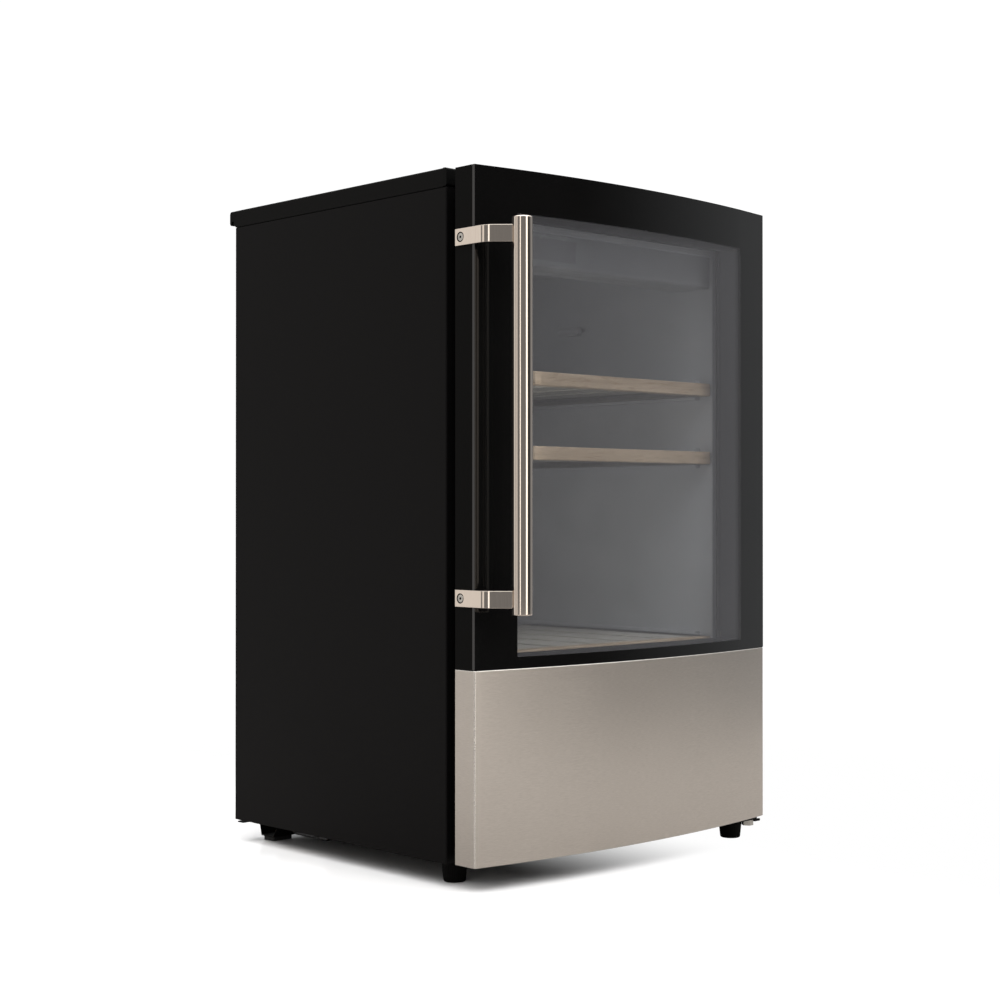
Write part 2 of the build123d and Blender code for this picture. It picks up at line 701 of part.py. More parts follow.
def air_duct_cover():
    """Moulded cover with a ring grille in front of the fan and outlet slots top and bottom."""
    cover = block(symmetric(DUCT_HALF), (DUCT_FRONT, CAVITY_BACK), (DUCT_BOTTOM, DUCT_TOP))
    cover = fillet(cover.faces().sort_by(Axis.Y)[0].edges(), 4)
    inside_z = (DUCT_BOTTOM + DUCT_WALL, DUCT_TOP - DUCT_WALL)
    inside_half = symmetric(DUCT_HALF - DUCT_WALL)
    cover -= block(inside_half, (DUCT_FRONT + DUCT_WALL, CAVITY_BACK + 1), inside_z)
    through_y = (DUCT_FRONT - 1, DUCT_FRONT + DUCT_WALL + 1)
    start, end = ((0, y, FAN_Z) for y in through_y)
    for radius in GRILLE_RADII:
        cover -= rod(start, end, radius) - rod(start, end, radius - GRILLE_GAP)
    spoke = Box(2 * GRILLE_RADII[0] + 4, DUCT_WALL, 3)
    spoke_place = Pos(0, DUCT_FRONT + DUCT_WALL / 2, FAN_Z)
    spokes = [spoke_place * Rot(0, angle, 0) * spoke for angle in (0, 60, 120)]
    for row in range(SLOT_ROWS):
        for low in (DUCT_BOTTOM + 20 + row * SLOT_PITCH, DUCT_TOP - 24 - row * SLOT_PITCH):
            cover -= block(symmetric(SLOT_HALF), through_y, (low, low + SLOT_HEIGHT))
    return cover + spokes


def fan_housing():
    """Square fan frame, its three struts, and the motor with its shaft."""
    y = (FAN_FRONT - 1, CAVITY_BACK - 4)
    frame = block(symmetric(FAN_FRAME), y, (FAN_Z - FAN_FRAME, FAN_Z + FAN_FRAME))
    frame = fillet(frame.edges().filter_by(Axis.Y), 5)
    frame -= rod((0, y[0] - 1, FAN_Z), (0, y[1] + 1, FAN_Z), FAN_RADIUS + 1.5)
    strut_middle = (FAN_MOTOR_RADIUS + FAN_RADIUS) / 2
    strut = Pos(strut_middle, 0, 0) * Box(FAN_RADIUS, 2, 4)
    struts = [Pos(0, y[1] - 1, FAN_Z) * Rot(0, angle, 0) * strut for angle in (30, 150, 270)]
    motor = rod((0, FAN_BACK + 0.5, FAN_Z), (0, y[1], FAN_Z), FAN_MOTOR_RADIUS)
    shaft = rod((0, FAN_FRONT + 1, FAN_Z), (0, FAN_BACK + 1, FAN_Z), FAN_SHAFT_RADIUS)
    return Part() + [frame, *struts, motor, shaft]


def fan_rotor():
    """Hub with pitched blades that turns on the motor's shaft."""
    hub = rod((0, FAN_FRONT, FAN_Z), (0, FAN_BACK, FAN_Z), FAN_HUB_RADIUS)
    middle = (FAN_FRONT + FAN_BACK) / 2
    length = FAN_RADIUS - FAN_HUB_RADIUS + 1
    blade = Rot(BLADE_PITCH, 0, 0) * Box(length, BLADE_THICKNESS, BLADE_CHORD)
    blade = Pos(FAN_HUB_RADIUS - 1 + length / 2, 0, 0) * blade
    blades = [
        Pos(0, middle, FAN_Z) * Rot(0, 360 * index / BLADE_COUNT, 0) * blade
        for index in range(BLADE_COUNT)
    ]
    bore = rod((0, FAN_FRONT - 1, FAN_Z), (0, FAN_BACK + 1, FAN_Z), FAN_SHAFT_RADIUS + 0.05)
    return Part() + [hub, *blades] - bore


def control_housing():
    """Box under the cavity ceiling that holds the controls and the light."""
    half = CAVITY_HALF - 1
    y = (CONTROL_FRONT, CONTROL_BACK)
    z = (CONTROL_BOTTOM, CAVITY_TOP)
    shell = fillet(edges_along(block(symmetric(half), y, z), Axis.X, lambda c: c.Z < 760), 5)
    inner_y = (y[0] + CONTROL_WALL, y[1] - CONTROL_WALL)
    inner_half = symmetric(half - CONTROL_WALL)
    shell -= block(inner_half, inner_y, (z[0] + CONTROL_WALL, z[1] + 1))
    window = block(DISPLAY_X, (y[0] - 1, y[0] + 3), DISPLAY_Z)
    lamp = block(symmetric(LAMP_HALF), LAMP_Y, (z[0] - 1, z[0] + 3))
    return shell - window - lamp


def display_window():
    return block(DISPLAY_X, (CONTROL_FRONT, CONTROL_FRONT + CONTROL_WALL), DISPLAY_Z)


def control_board():
    x = (DISPLAY_X[0] - BOARD_MARGIN[0], DISPLAY_X[1] + BOARD_MARGIN[0])
    z = (DISPLAY_Z[0] - BOARD_MARGIN[1], DISPLAY_Z[1] + BOARD_MARGIN[1])
    back = BOARD_FRONT + BOARD_THICKNESS
    board = block(x, (BOARD_FRONT, back), z)
    chip_z = (DISPLAY_Z[0] + 8, DISPLAY_Z[0] + 8 + CHIP_SIZE)
    chips = [
        block((left, left + CHIP_SIZE), (back, back + CHIP_HEIGHT), chip_z) for left in CHIP_PLACES
    ]
    return Part() + [board, *chips]


def lamp_cover():
    return block(symmetric(LAMP_HALF), LAMP_Y, (CONTROL_BOTTOM, CONTROL_BOTTOM + CONTROL_WALL))


def temperature_sensor():
    """Small probe clipped high on the right wall."""
    x = CAVITY_HALF - 12
    clip = block((x + 4, CAVITY_HALF), (PROBE_Y[0] + 10, PROBE_Y[1] - 10), (PROBE_Z - 6, PROBE_Z + 6))
    return clip + rod((x, PROBE_Y[0], PROBE_Z), (x, PROBE_Y[1], PROBE_Z), PROBE_RADIUS)


def shelf_runners():
    """Support rail under each shelf and guide rail over it, on both side walls."""
    rails = []
    for top in SHELF_TOPS.values():
        support_top = top - SHELF_BAR_HEIGHT - RUNNER_GAP
        guide_bottom = top + RUNNER_GAP + 1
        for low in (support_top - RUNNER_THICKNESS, guide_bottom):
            z = (low, low + RUNNER_THICKNESS)
            rails += both_sides(block((RUNNER_INNER, CAVITY_HALF), RUNNER_Y, z))
    return group(rails)


# ---- Shelves ------------------------------------------------------------------------------
def shelf_front_bar(top):
    """Wooden front bar with eased edges."""
    y = (SHELF_FRONT, SHELF_FRONT + SHELF_BAR_DEPTH)
    bar = block(symmetric(SHELF_HALF), y, (top - SHELF_BAR_HEIGHT, top))
    return fillet(bar.edges().filter_by(Axis.X), 1.5)


def shelf_slats(top):
    """Slats that run from the front bar to a rear bar."""
    z = (top - SLAT_THICKNESS, top)
    bars = [block(symmetric(RAIL_INNER), (SHELF_BACK - SHELF_BAR_DEPTH, SHELF_BACK), z)]
    y = (SHELF_FRONT + SHELF_BAR_DEPTH, SHELF_BACK - SHELF_BAR_DEPTH)
    for index in range(SLAT_COUNT):
        x = (index - (SLAT_COUNT - 1) / 2) * SLAT_PITCH
        slat = block((x - SLAT_WIDTH / 2, x + SLAT_WIDTH / 2), y, z)
        bars.append(fillet(slat.edges().filter_by(Axis.Y), 1.2))
    return group(bars)


def shelf_side_rails(top):
    """Steel channels along both ends that slide on the runners."""
    y = (SHELF_FRONT + SHELF_BAR_DEPTH, SHELF_BACK)
    z = (top - SHELF_BAR_HEIGHT, top)
    channel = block((RAIL_INNER, RAIL_OUTER), y, z)
    hollow_x = (RAIL_INNER - 1, RAIL_OUTER - RAIL_SHEET)
    channel -= block(hollow_x, y, (z[0] + RAIL_SHEET, z[1] - RAIL_TOP_SOLID))
    return group(both_sides(channel))


# ---- Door ---------------------------------------------------------------------------------
def ring(outer_half, outer_z, inner_half, inner_z, y):
    """Rectangular ring that faces the front."""
    outer = block(symmetric(outer_half), y, outer_z)
    return outer - block(symmetric(inner_half), (y[0] - 1, y[1] + 1), inner_z)


def bush_holes():
    """Pockets for the hinge bushes at the door's bottom and top right corners."""
    low = rod((HINGE_X, HINGE_Y, 0), (HINGE_X, HINGE_Y, DOOR_BOTTOM + BUSH_DEPTH), BUSH_RADIUS)
    top_start = (HINGE_X, HINGE_Y, DOOR_TOP - BUSH_DEPTH)
    return [low, rod(top_start, (HINGE_X, HINGE_Y, HEIGHT), BUSH_RADIUS)]


def door_frame():
    """Moulded frame of the whole door: window tunnel above, foam pocket below."""
    upper = door_slab(HALF, GLASS, DOOR_BACK, (SEAM, DOOR_TOP))
    lower = door_slab(HALF - STEEL_SKIN, STEEL_SKIN, DOOR_BACK, (DOOR_BOTTOM, SEAM))
    half = WINDOW_HALF + SPACER
    z = (WINDOW_BOTTOM - SPACER, WINDOW_TOP + SPACER)
    tunnel = block(symmetric(half), (-DOOR_BULGE - 5, DOOR_BACK), z)
    pane_z = (WINDOW_BOTTOM - PANE_LAP, WINDOW_TOP + PANE_LAP)
    rebate = block(symmetric(WINDOW_HALF + PANE_LAP), (PANE_FRONT, DOOR_BACK + 1), pane_z)
    return upper + lower - tunnel - rebate - lower_pocket() - bush_holes() - handle_screw_holes()


def lower_pocket():
    half = HALF - POCKET_MARGIN - 12
    z = (DOOR_BOTTOM + POCKET_MARGIN, SEAM - POCKET_MARGIN)
    return block(symmetric(half), (-DOOR_BULGE - 5, DOOR_BACK - POCKET_FLOOR), z)


def door_lower_foam():
    within = door_slab(HALF - STEEL_SKIN, STEEL_SKIN, DOOR_BACK, (DOOR_BOTTOM, SEAM))
    return within & lower_pocket()


def door_lower_panel():
    """Steel skin wrapped over the curved front and both sides of the lower door."""
    z = (DOOR_BOTTOM, SEAM - 0.4)
    outer = door_slab(HALF, 0, DOOR_BACK, z)
    return outer - door_slab(HALF - STEEL_SKIN, STEEL_SKIN, DOOR_BACK + 1, z)


def door_glass_outer():
    z = (SEAM + 0.3, DOOR_TOP)
    behind = door_slab(HALF + 5, GLASS, DOOR_BACK, (0, HEIGHT + 50))
    return door_slab(HALF, 0, DOOR_BACK, z) - behind


def door_glass_inner():
    half = WINDOW_HALF + PANE_LAP - PANE_CLEARANCE
    z = (WINDOW_BOTTOM - PANE_LAP + PANE_CLEARANCE, WINDOW_TOP + PANE_LAP - PANE_CLEARANCE)
    return block(symmetric(half), (PANE_FRONT, PANE_FRONT + GLASS), z)


def glazing_spacer():
    """Spacer between the two panes that lines the window opening."""
    outer_z = (WINDOW_BOTTOM - SPACER, WINDOW_TOP + SPACER)
    inner_z = (WINDOW_BOTTOM, WINDOW_TOP)
    y = (-DOOR_BULGE - 5, PANE_FRONT)
    lining = ring(WINDOW_HALF + SPACER, outer_z, WINDOW_HALF, inner_z, y)
    return lining & door_slab(HALF, GLASS, DOOR_BACK, (DOOR_BOTTOM, DOOR_TOP))


def glazing_bead():
    """Bead behind the inner pane."""
    outer_z = (WINDOW_BOTTOM - PANE_LAP, WINDOW_TOP + PANE_LAP)
    inner_z = (WINDOW_BOTTOM, WINDOW_TOP)
    y = (PANE_FRONT + GLASS, DOOR_BACK)
    return ring(WINDOW_HALF + PANE_LAP, outer_z, WINDOW_HALF, inner_z, y)


def door_gasket():
    """Magnetic seal round the cavity opening."""
    outer_z = (CAVITY_BOTTOM - 28, CAVITY_TOP + 28)
    inner_z = (outer_z[0] + GASKET_WIDTH, outer_z[1] - GASKET_WIDTH)
    y = (DOOR_BACK, CABINET_FRONT - GASKET_CLEARANCE)
    return ring(GASKET_OUTER, outer_z, GASKET_OUTER - GASKET_WIDTH, inner_z, y)


def hinge_bushes():
    """Plastic bushes in the door that turn on the two hinge pins."""
    pin_hole = rod((HINGE_X, HINGE_Y, 0), (HINGE_X, HINGE_Y, HEIGHT), PIN_RADIUS + PIN_CLEARANCE)
    low = rod(
        (HINGE_X, HINGE_Y, DOOR_BOTTOM), (HINGE_X, HINGE_Y, DOOR_BOTTOM + BUSH_DEPTH), BUSH_RADIUS
    )
    top = rod((HINGE_X, HINGE_Y, DOOR_TOP - BUSH_DEPTH), (HINGE_X, HINGE_Y, DOOR_TOP), BUSH_RADIUS)
    return group([low - pin_hole, top - pin_hole])


def handle_tube():
    """Closed tube with softly rounded ends."""
    tube = rod((TUBE_X, TUBE_Y, TUBE_BOTTOM), (TUBE_X, TUBE_Y, TUBE_TOP), TUBE_RADIUS)
    for end in (0, -1):
        tube = fillet(tube.edges().group_by(Axis.Z)[end], TUBE_ROUNDING)
    low, high = TUBE_BOTTOM + TUBE_END_WALL, TUBE_TOP - TUBE_END_WALL
    return tube - rod((TUBE_X, TUBE_Y, low), (TUBE_X, TUBE_Y, high), TUBE_RADIUS - TUBE_WALL)


def bar_face(radius):
    """Edges of one face of a handle bar: along the door's side, round the bend, out to the tube."""
    back = (BEND_X - radius, BAR_BACK)
    bend_start = (BEND_X - radius, BEND_Y)
    half_way = bend_point(radius, BAR_ANGLE / 2)
    bend_end = bend_point(radius, BAR_ANGLE)
    tip = (bend_end[0] + BAR_REACH * sin(BAR_ANGLE), bend_end[1] - BAR_REACH * cos(BAR_ANGLE))
    edges = [Line(back, bend_start), ThreePointArc(bend_start, half_way, bend_end), Line(bend_end, tip)]
    return back, edges, tip


def bend_point(radius, angle):
    return (BEND_X - radius * cos(angle), BEND_Y - radius * sin(angle))


def handle_bracket(height):
    """Flat bar along the door's side that bends out to the tube and is welded to it."""
    outer_back, outer_edges, outer_tip = bar_face(BAR_BEND)
    inner_back, inner_edges, inner_tip = bar_face(BAR_BEND - BAR_THICKNESS)
    ends = [Line(outer_back, inner_back), Line(outer_tip, inner_tip)]
    outline = make_face(Curve() + outer_edges + inner_edges + ends)
    bar = Pos(0, 0, height - BAR_HEIGHT / 2) * extrude(outline, amount=BAR_HEIGHT)
    bar -= rod((TUBE_X, TUBE_Y, 0), (TUBE_X, TUBE_Y, HEIGHT), TUBE_RADIUS)
    start = (-HALF - BAR_THICKNESS, HANDLE_SCREW_DEPTH, height)
    cone = Cone(COUNTERSINK_RADIUS, SCREW_HOLE, BAR_THICKNESS, align=FROM_BASE)
    return bar - Plane(origin=start, z_dir=(1, 0, 0)) * cone


def handle_screw_holes():
    """Pilot holes in the door's left side."""
    return [
        rod(
            (-HALF - 1, HANDLE_SCREW_DEPTH, height),
            (-HALF + HANDLE_SCREW_LENGTH, HANDLE_SCREW_DEPTH, height),
            SCREW_HOLE,
        )
        for height in BAR_HEIGHTS
    ]


def handle_screws():
    """Countersunk screws through the bars into the door's side."""
    screws = []
    for height in BAR_HEIGHTS:
        start = (-HALF - BAR_THICKNESS + 0.3, HANDLE_SCREW_DEPTH, height)
        head_depth = BAR_THICKNESS - 0.4
        shank = SCREW_HOLE - 0.1
        length = HANDLE_SCREW_LENGTH
        screws.append(screw(start, (1, 0, 0), HANDLE_SCREW_HEAD, head_depth, shank, length))
    return group(screws)


# ---- Door hinges --------------------------------------------------------------------------
def hinge_screw_places():
    for x in (HINGE_PLATE_LEFT + HINGE_SCREW_EDGE, HINGE_PLATE_RIGHT - HINGE_SCREW_EDGE):
        for y in HINGE_SCREW_DEPTHS:
            yield x, y


def hinge_plate_holes(z):
    """Holes through a hinge plate for its pin and its screws."""
    holes = [rod((HINGE_X, HINGE_Y, z[0]), (HINGE_X, HINGE_Y, z[1]), PIN_RADIUS)]
    return holes + [rod((x, y, z[0]), (x, y, z[1]), SCREW_HOLE) for x, y in hinge_screw_places()]


def lower_hinge_plate():
    """Steel plate under the cabinet that also carries the right front foot."""
    z = (CABINET_BOTTOM - HINGE_PLATE, CABINET_BOTTOM)
    x = (HINGE_PLATE_LEFT, HINGE_PLATE_RIGHT)
    plate = block(x, (HINGE_PLATE_FRONT, HINGE_PLATE_BACK), z)
    plate = fillet(plate.edges().filter_by(Axis.Z), HINGE_PLATE_CORNER)
    foot_x, foot_y = FOOT_PLACES["right"]
    foot_hole = rod((foot_x, foot_y, 0), (foot_x, foot_y, HEIGHT), STUD_RADIUS + STUD_CLEARANCE)
    stop_y = (HINGE_PLATE_FRONT + 1, HINGE_PLATE_FRONT + 4)
    stop = block((HINGE_X + 5, HINGE_PLATE_RIGHT + 4), stop_y, (z[0] - 3, z[0]))
    return plate - foot_hole - hinge_plate_holes((0, HEIGHT)) + stop


def upper_hinge_plate():
    """Steel plate let into the worktop, with a rounded tongue over the door's pin."""
    z = (HINGE_TOP_Z, HINGE_TOP_Z + UPPER_PLATE)
    x = (HINGE_PLATE_LEFT, HINGE_PLATE_RIGHT)
    plate = block(x, (TONGUE_BACK, HINGE_PLATE_BACK), z)
    plate = fillet(plate.edges().filter_by(Axis.Z), HINGE_PLATE_CORNER)
    tongue = block((HINGE_X - TONGUE_HALF, HINGE_X + TONGUE_HALF), (HINGE_Y, TONGUE_BACK + 10), z)
    nose = rod((HINGE_X, HINGE_Y, z[0]), (HINGE_X, HINGE_Y, z[1]), TONGUE_HALF)
    return plate + tongue + nose - hinge_plate_holes((DOOR_TOP, HEIGHT + 1))


def hinge_pins():
    """Lower pin with its hexagon head and washer, and the headless upper pin."""
    plate_bottom = CABINET_BOTTOM - HINGE_PLATE
    axis_point = (HINGE_X, HINGE_Y)
    head = hexagon_bar((*axis_point, NUT_BOTTOM), (*axis_point, plate_bottom), PIN_HEAD_FLATS)
    lower_pin = rod((*axis_point, plate_bottom - 1), (*axis_point, LOWER_PIN_TOP), PIN_RADIUS)
    washer_top = DOOR_BOTTOM - 0.3
    washer = rod((*axis_point, CABINET_BOTTOM), (*axis_point, washer_top), WASHER_RADIUS)
    upper_start = (*axis_point, DOOR_TOP - BUSH_DEPTH + 3)
    upper = rod(upper_start, (*axis_point, HINGE_TOP_Z + UPPER_PLATE), PIN_RADIUS)
    return group([head + lower_pin + washer, upper])


def hinge_screws():
    """Screws through both hinge plates into the cabinet."""
    screws = []
    plate_bottom = CABINET_BOTTOM - HINGE_PLATE
    for x, y in hinge_screw_places():
        head = rod((x, y, plate_bottom - 2), (x, y, plate_bottom), HINGE_SCREW_HEAD)
        shank = rod((x, y, plate_bottom), (x, y, CABINET_BOTTOM - 0.1), HINGE_SCREW_RADIUS)
        upper_start = (x, y, HINGE_TOP_Z + 0.1)
        upper = rod(upper_start, (x, y, HINGE_TOP_Z + UPPER_PLATE), HINGE_SCREW_RADIUS)
        screws += [head + shank, upper]
    return group(screws)


# ---- Files --------------------------------------------------------------------------------
def main():
    os.makedirs("parts", exist_ok=True)
    left = side_panel()
    save("side_panel_left", left)
    save("side_panel_right", mirror(left, about=Plane.YZ))
    for piece in (
        rear_panel, worktop, worktop_front_trim, worktop_rear_trim, insulation_foam, inner_liner,
        base_plate, foot_nuts, rear_feet, compressor_tray, compressor, compressor_mounts,
        compressor_terminal_cover, filter_drier, refrigerant_pipes, condenser_tube,
        condenser_wires, condenser_brackets, drip_tray, mains_inlet, evaporator_plate,
        air_duct_cover, fan_housing, fan_rotor, control_housing, display_window, control_board,
        lamp_cover, temperature_sensor, shelf_runners, door_frame, door_glass_outer,
        door_glass_inner, glazing_spacer, glazing_bead, door_lower_panel, door_lower_foam,
        door_gasket, hinge_bushes, handle_tube, handle_screws, lower_hinge_plate,
        upper_hinge_plate, hinge_pins, hinge_screws,
    ):
        save(piece.__name__, piece())
    for name, height in zip(("lower", "upper"), BAR_HEIGHTS):
        save(f"handle_bracket_{name}", handle_bracket(height))
    for name, (x, y) in FOOT_PLACES.items():
        save(f"foot_{name}", foot(x, y))
    for name, top in SHELF_TOPS.items():
        save(f"shelf_{name}_front_bar", shelf_front_bar(top))
        save(f"shelf_{name}_slats", shelf_slats(top))
        save(f"shelf_{name}_side_rails", shelf_side_rails(top))


main()
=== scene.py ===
"""Looks of the under-counter drinks fridge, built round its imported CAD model.

Metres, +X to the right, +Y to the back, +Z up, origin on the floor under the middle of the object.
"""
import json
from math import cos, pi, radians, sin, sqrt

import bmesh
import bpy
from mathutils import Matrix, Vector


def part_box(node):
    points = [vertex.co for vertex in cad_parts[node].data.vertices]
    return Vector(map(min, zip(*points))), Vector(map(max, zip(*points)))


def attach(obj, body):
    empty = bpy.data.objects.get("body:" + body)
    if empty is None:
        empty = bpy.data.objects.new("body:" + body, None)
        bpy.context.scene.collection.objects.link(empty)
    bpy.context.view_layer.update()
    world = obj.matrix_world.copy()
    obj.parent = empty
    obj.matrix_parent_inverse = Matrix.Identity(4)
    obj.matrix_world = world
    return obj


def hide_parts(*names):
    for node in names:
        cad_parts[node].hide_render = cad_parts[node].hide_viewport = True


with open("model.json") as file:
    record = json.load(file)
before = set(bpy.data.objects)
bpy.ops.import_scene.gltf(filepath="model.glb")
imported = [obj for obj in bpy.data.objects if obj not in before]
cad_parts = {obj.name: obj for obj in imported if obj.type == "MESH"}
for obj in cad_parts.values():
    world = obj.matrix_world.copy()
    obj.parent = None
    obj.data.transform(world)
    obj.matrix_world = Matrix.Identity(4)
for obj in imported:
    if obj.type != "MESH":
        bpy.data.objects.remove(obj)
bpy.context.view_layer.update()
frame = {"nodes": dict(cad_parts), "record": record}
NODES = frame["nodes"]

MM = 0.001

# ---- Places and sizes taken from the frame --------------------------------------------------
DOOR_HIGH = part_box("door_frame")[1]
GLASS_LOW, GLASS_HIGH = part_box("door_glass_outer")
STEEL_LOW, STEEL_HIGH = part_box("door_lower_panel")
WINDOW_LOW, WINDOW_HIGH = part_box("glazing_spacer")
DOOR_EDGE = 33.6 * MM
HALF = DOOR_HIGH.x
CORNER_Y = DOOR_HIGH.y - DOOR_EDGE
BULGE = CORNER_Y - GLASS_LOW.y
FRONT_RADIUS = (HALF**2 + BULGE**2) / (2 * BULGE)
ARC_CENTRE_Y = CORNER_Y - BULGE + FRONT_RADIUS
GLASS_THICKNESS = 4 * MM
SPACER_THICKNESS = 3 * MM
WINDOW_HALF = WINDOW_HIGH.x - SPACER_THICKNESS
WINDOW_BOTTOM = WINDOW_LOW.z + SPACER_THICKNESS
WINDOW_TOP = WINDOW_HIGH.z - SPACER_THICKNESS


def front_y(x, inset=0.0):
    """Depth of the curved front, or of the curve parallel to it, at one x."""
    radius = FRONT_RADIUS - inset
    return ARC_CENTRE_Y - sqrt(radius**2 - x**2)


# ---- Camera ---------------------------------------------------------------------------------
CAMERA_PLACE = Vector((-1.6815, CORNER_Y - 1.53545, 0.4464))
CAMERA_BEARING = radians(43.443)
CAMERA_RISE = radians(0.316)
CAMERA_LENS = 64.63
SENSOR_WIDTH = 36.0
NEAREST_SEEN = 0.01


def make_camera():
    """Camera in front of the left corner, a little under mid height."""
    data = bpy.data.cameras.new("camera")
    data.lens = CAMERA_LENS
    data.sensor_width = SENSOR_WIDTH
    data.clip_start = NEAREST_SEEN
    camera = bpy.data.objects.new("camera", data)
    bpy.context.scene.collection.objects.link(camera)
    level = cos(CAMERA_RISE)
    ahead = Vector((sin(CAMERA_BEARING) * level, cos(CAMERA_BEARING) * level, sin(CAMERA_RISE)))
    camera.location = CAMERA_PLACE
    camera.rotation_euler = ahead.to_track_quat("-Z", "Y").to_euler()
    bpy.context.scene.camera = camera


# ---- Light ----------------------------------------------------------------------------------
class Graph:
    """The nodes and links of one material or world, emptied."""

    def __init__(self, owner):
        owner.use_nodes = True
        self.nodes, self.links = owner.node_tree.nodes, owner.node_tree.links
        self.nodes.clear()

    def mix(self, share, first, second):
        """Output of a shader mixed from two others."""
        node = self.nodes.new("ShaderNodeMixShader")
        self.links.new(share, node.inputs["Fac"])
        self.links.new(first, node.inputs[1])
        self.links.new(second, node.inputs[2])
        return node.outputs[0]

    def shader(self, kind, **sockets):
        """Output of a shader node with its sockets set; an underscore in a name stands for a space."""
        node = self.nodes.new(kind)
        for socket, value in sockets.items():
            node.inputs[socket.replace("_", " ")].default_value = value
        return node.outputs[0]

    def spread(self, value, low, high):
        """Map 0..1 onto low..high."""
        node = self.nodes.new("ShaderNodeMapRange")
        node.inputs["To Min"].default_value = low
        node.inputs["To Max"].default_value = high
        self.links.new(value, node.inputs["Value"])
        return node.outputs["Result"]


def ease(graph, value, start, end):
    """Soft step from 0 at start to 1 at end."""
    node = graph.nodes.new("ShaderNodeMapRange")
    node.interpolation_type = "SMOOTHSTEP"
    node.inputs["From Min"].default_value = start
    node.inputs["From Max"].default_value = end
    graph.links.new(value, node.inputs["Value"])
    return node.outputs["Result"]


class Sky(Graph):
    """Light from all round, as soft lobes by bearing (0 in front, 90 to the right) and height."""

    def __init__(self):
        world = bpy.data.worlds.new("studio")
        bpy.context.scene.world = world
        super().__init__(world)
        place = self.nodes.new("ShaderNodeTexCoord")
        parts = self.nodes.new("ShaderNodeSeparateXYZ")
        self.links.new(place.outputs["Generated"], parts.inputs[0])
        self.x, self.y, self.z = parts.outputs
        flat = self.math("SQRT", self.math("ADD", self.square(self.x), self.square(self.y)))
        self.flat = self.math("MAXIMUM", flat, 0.0001)
        self.total = None

    def math(self, operation, first, second=None):
        """One math node; each operand is a number or another node's output."""
        node = self.nodes.new("ShaderNodeMath")
        node.operation = operation
        for socket, value in zip(node.inputs, (first, second)):
            if isinstance(value, (int, float)):
                socket.default_value = value
            elif value is not None:
                self.links.new(value, socket)
        return node.outputs[0]

    def square(self, value):
        return self.math("MULTIPLY", value, value)

    def toward(self, bearing, full, none):
        """1 within full degrees of a bearing, falling to 0 at none degrees from it."""
        angle = radians(bearing)
        across = self.math("MULTIPLY", self.x, sin(angle))
        along = self.math("MULTIPLY", self.y, -cos(angle))
        cosine = self.math("DIVIDE", self.math("ADD", across, along), self.flat)
        return ease(self, cosine, cos(radians(none)), cos(radians(full)))

    def above(self, none, full):
        """0 below one height in degrees, rising to 1 at another."""
        return ease(self, self.z, sin(radians(none)), sin(radians(full)))

    def add(self, strength, colour, *masks):
        """Add light of one colour wherever all the masks let it through."""
        value = strength
        for mask in masks:
            value = self.math("MULTIPLY", mask, value)
        tint = self.nodes.new("ShaderNodeVectorMath")
        tint.operation = "SCALE"
        tint.inputs[0].default_value = colour
        if masks:
            self.links.new(value, tint.inputs["Scale"])
        else:
            tint.inputs["Scale"].default_value = strength
        if self.total is None:
            self.total = tint.outputs[0]
            return
        joined = self.nodes.new("ShaderNodeVectorMath")
        joined.operation = "ADD"
        self.links.new(self.total, joined.inputs[0])
        self.links.new(tint.outputs[0], joined.inputs[1])
        self.total = joined.outputs[0]

    def finish(self, seen_strength):
        """Plain white for the camera, the lobes for everything else."""
        path = self.nodes.new("ShaderNodeLightPath")
        seen = self.shader("ShaderNodeBackground", Color=(1, 1, 1, 1), Strength=seen_strength)
        room = self.nodes.new("ShaderNodeBackground")
        self.links.new(self.total, room.inputs["Color"])
        output = self.nodes.new("ShaderNodeOutputWorld")
        both = self.mix(path.outputs["Is Camera Ray"], room.outputs[0], seen)
        self.links.new(both, output.inputs["Surface"])


NEUTRAL = (1.0, 1.0, 1.0)
WARM = (1.0, 0.955, 0.905)
COOL = (0.96, 0.98, 1.0)
SEEN_WHITE = 1.05
FILL_STRENGTH = 0.03
OVERHEAD_STRENGTH = 2.6
OVERHEAD_HEIGHT = (24, 62)
FULL_HEIGHT = (-30, -10)
# Each lobe: strength, colour, bearing with its full and fading half widths, and its lower edge,
# in degrees.
LOBES = (
    (1.45, NEUTRAL, (-30, 30, 62), (18, 36)),       # high softbox over the left front
    (2.6, WARM, (5, 5, 13), FULL_HEIGHT),           # bright strip in the handle tube
    (0.23, NEUTRAL, (-54, 36, 60), FULL_HEIGHT),    # left front wall
    (0.36, COOL, (100, 25, 64), FULL_HEIGHT),       # right wall
    (0.7, NEUTRAL, (75, 30, 60), (12, 30)),         # high on the right
    (1.1, WARM, (-110, 4, 10), FULL_HEIGHT),        # narrow strips that the handle and bars mirror
    (0.85, WARM, (-138, 7, 15), FULL_HEIGHT),
    (2.0, WARM, (-69, 2, 6), FULL_HEIGHT),
    (0.22, NEUTRAL, (180, 30, 70), FULL_HEIGHT),    # behind
)


def make_light():
    """Even fill, a bright ceiling and the lobes round the object."""
    sky = Sky()
    sky.add(FILL_STRENGTH, NEUTRAL)
    sky.add(OVERHEAD_STRENGTH, NEUTRAL, sky.above(*OVERHEAD_HEIGHT))
    for strength, colour, direction, height in LOBES:
        sky.add(strength, colour, sky.toward(*direction), sky.above(*height))
    sky.finish(SEEN_WHITE)


CAVITY_LIGHT_SIZE = (0.60, 0.26)
CAVITY_LIGHT_POWER = 0.52
CAVITY_LIGHT_PLACE = (-0.12, 0.12, 0.55)


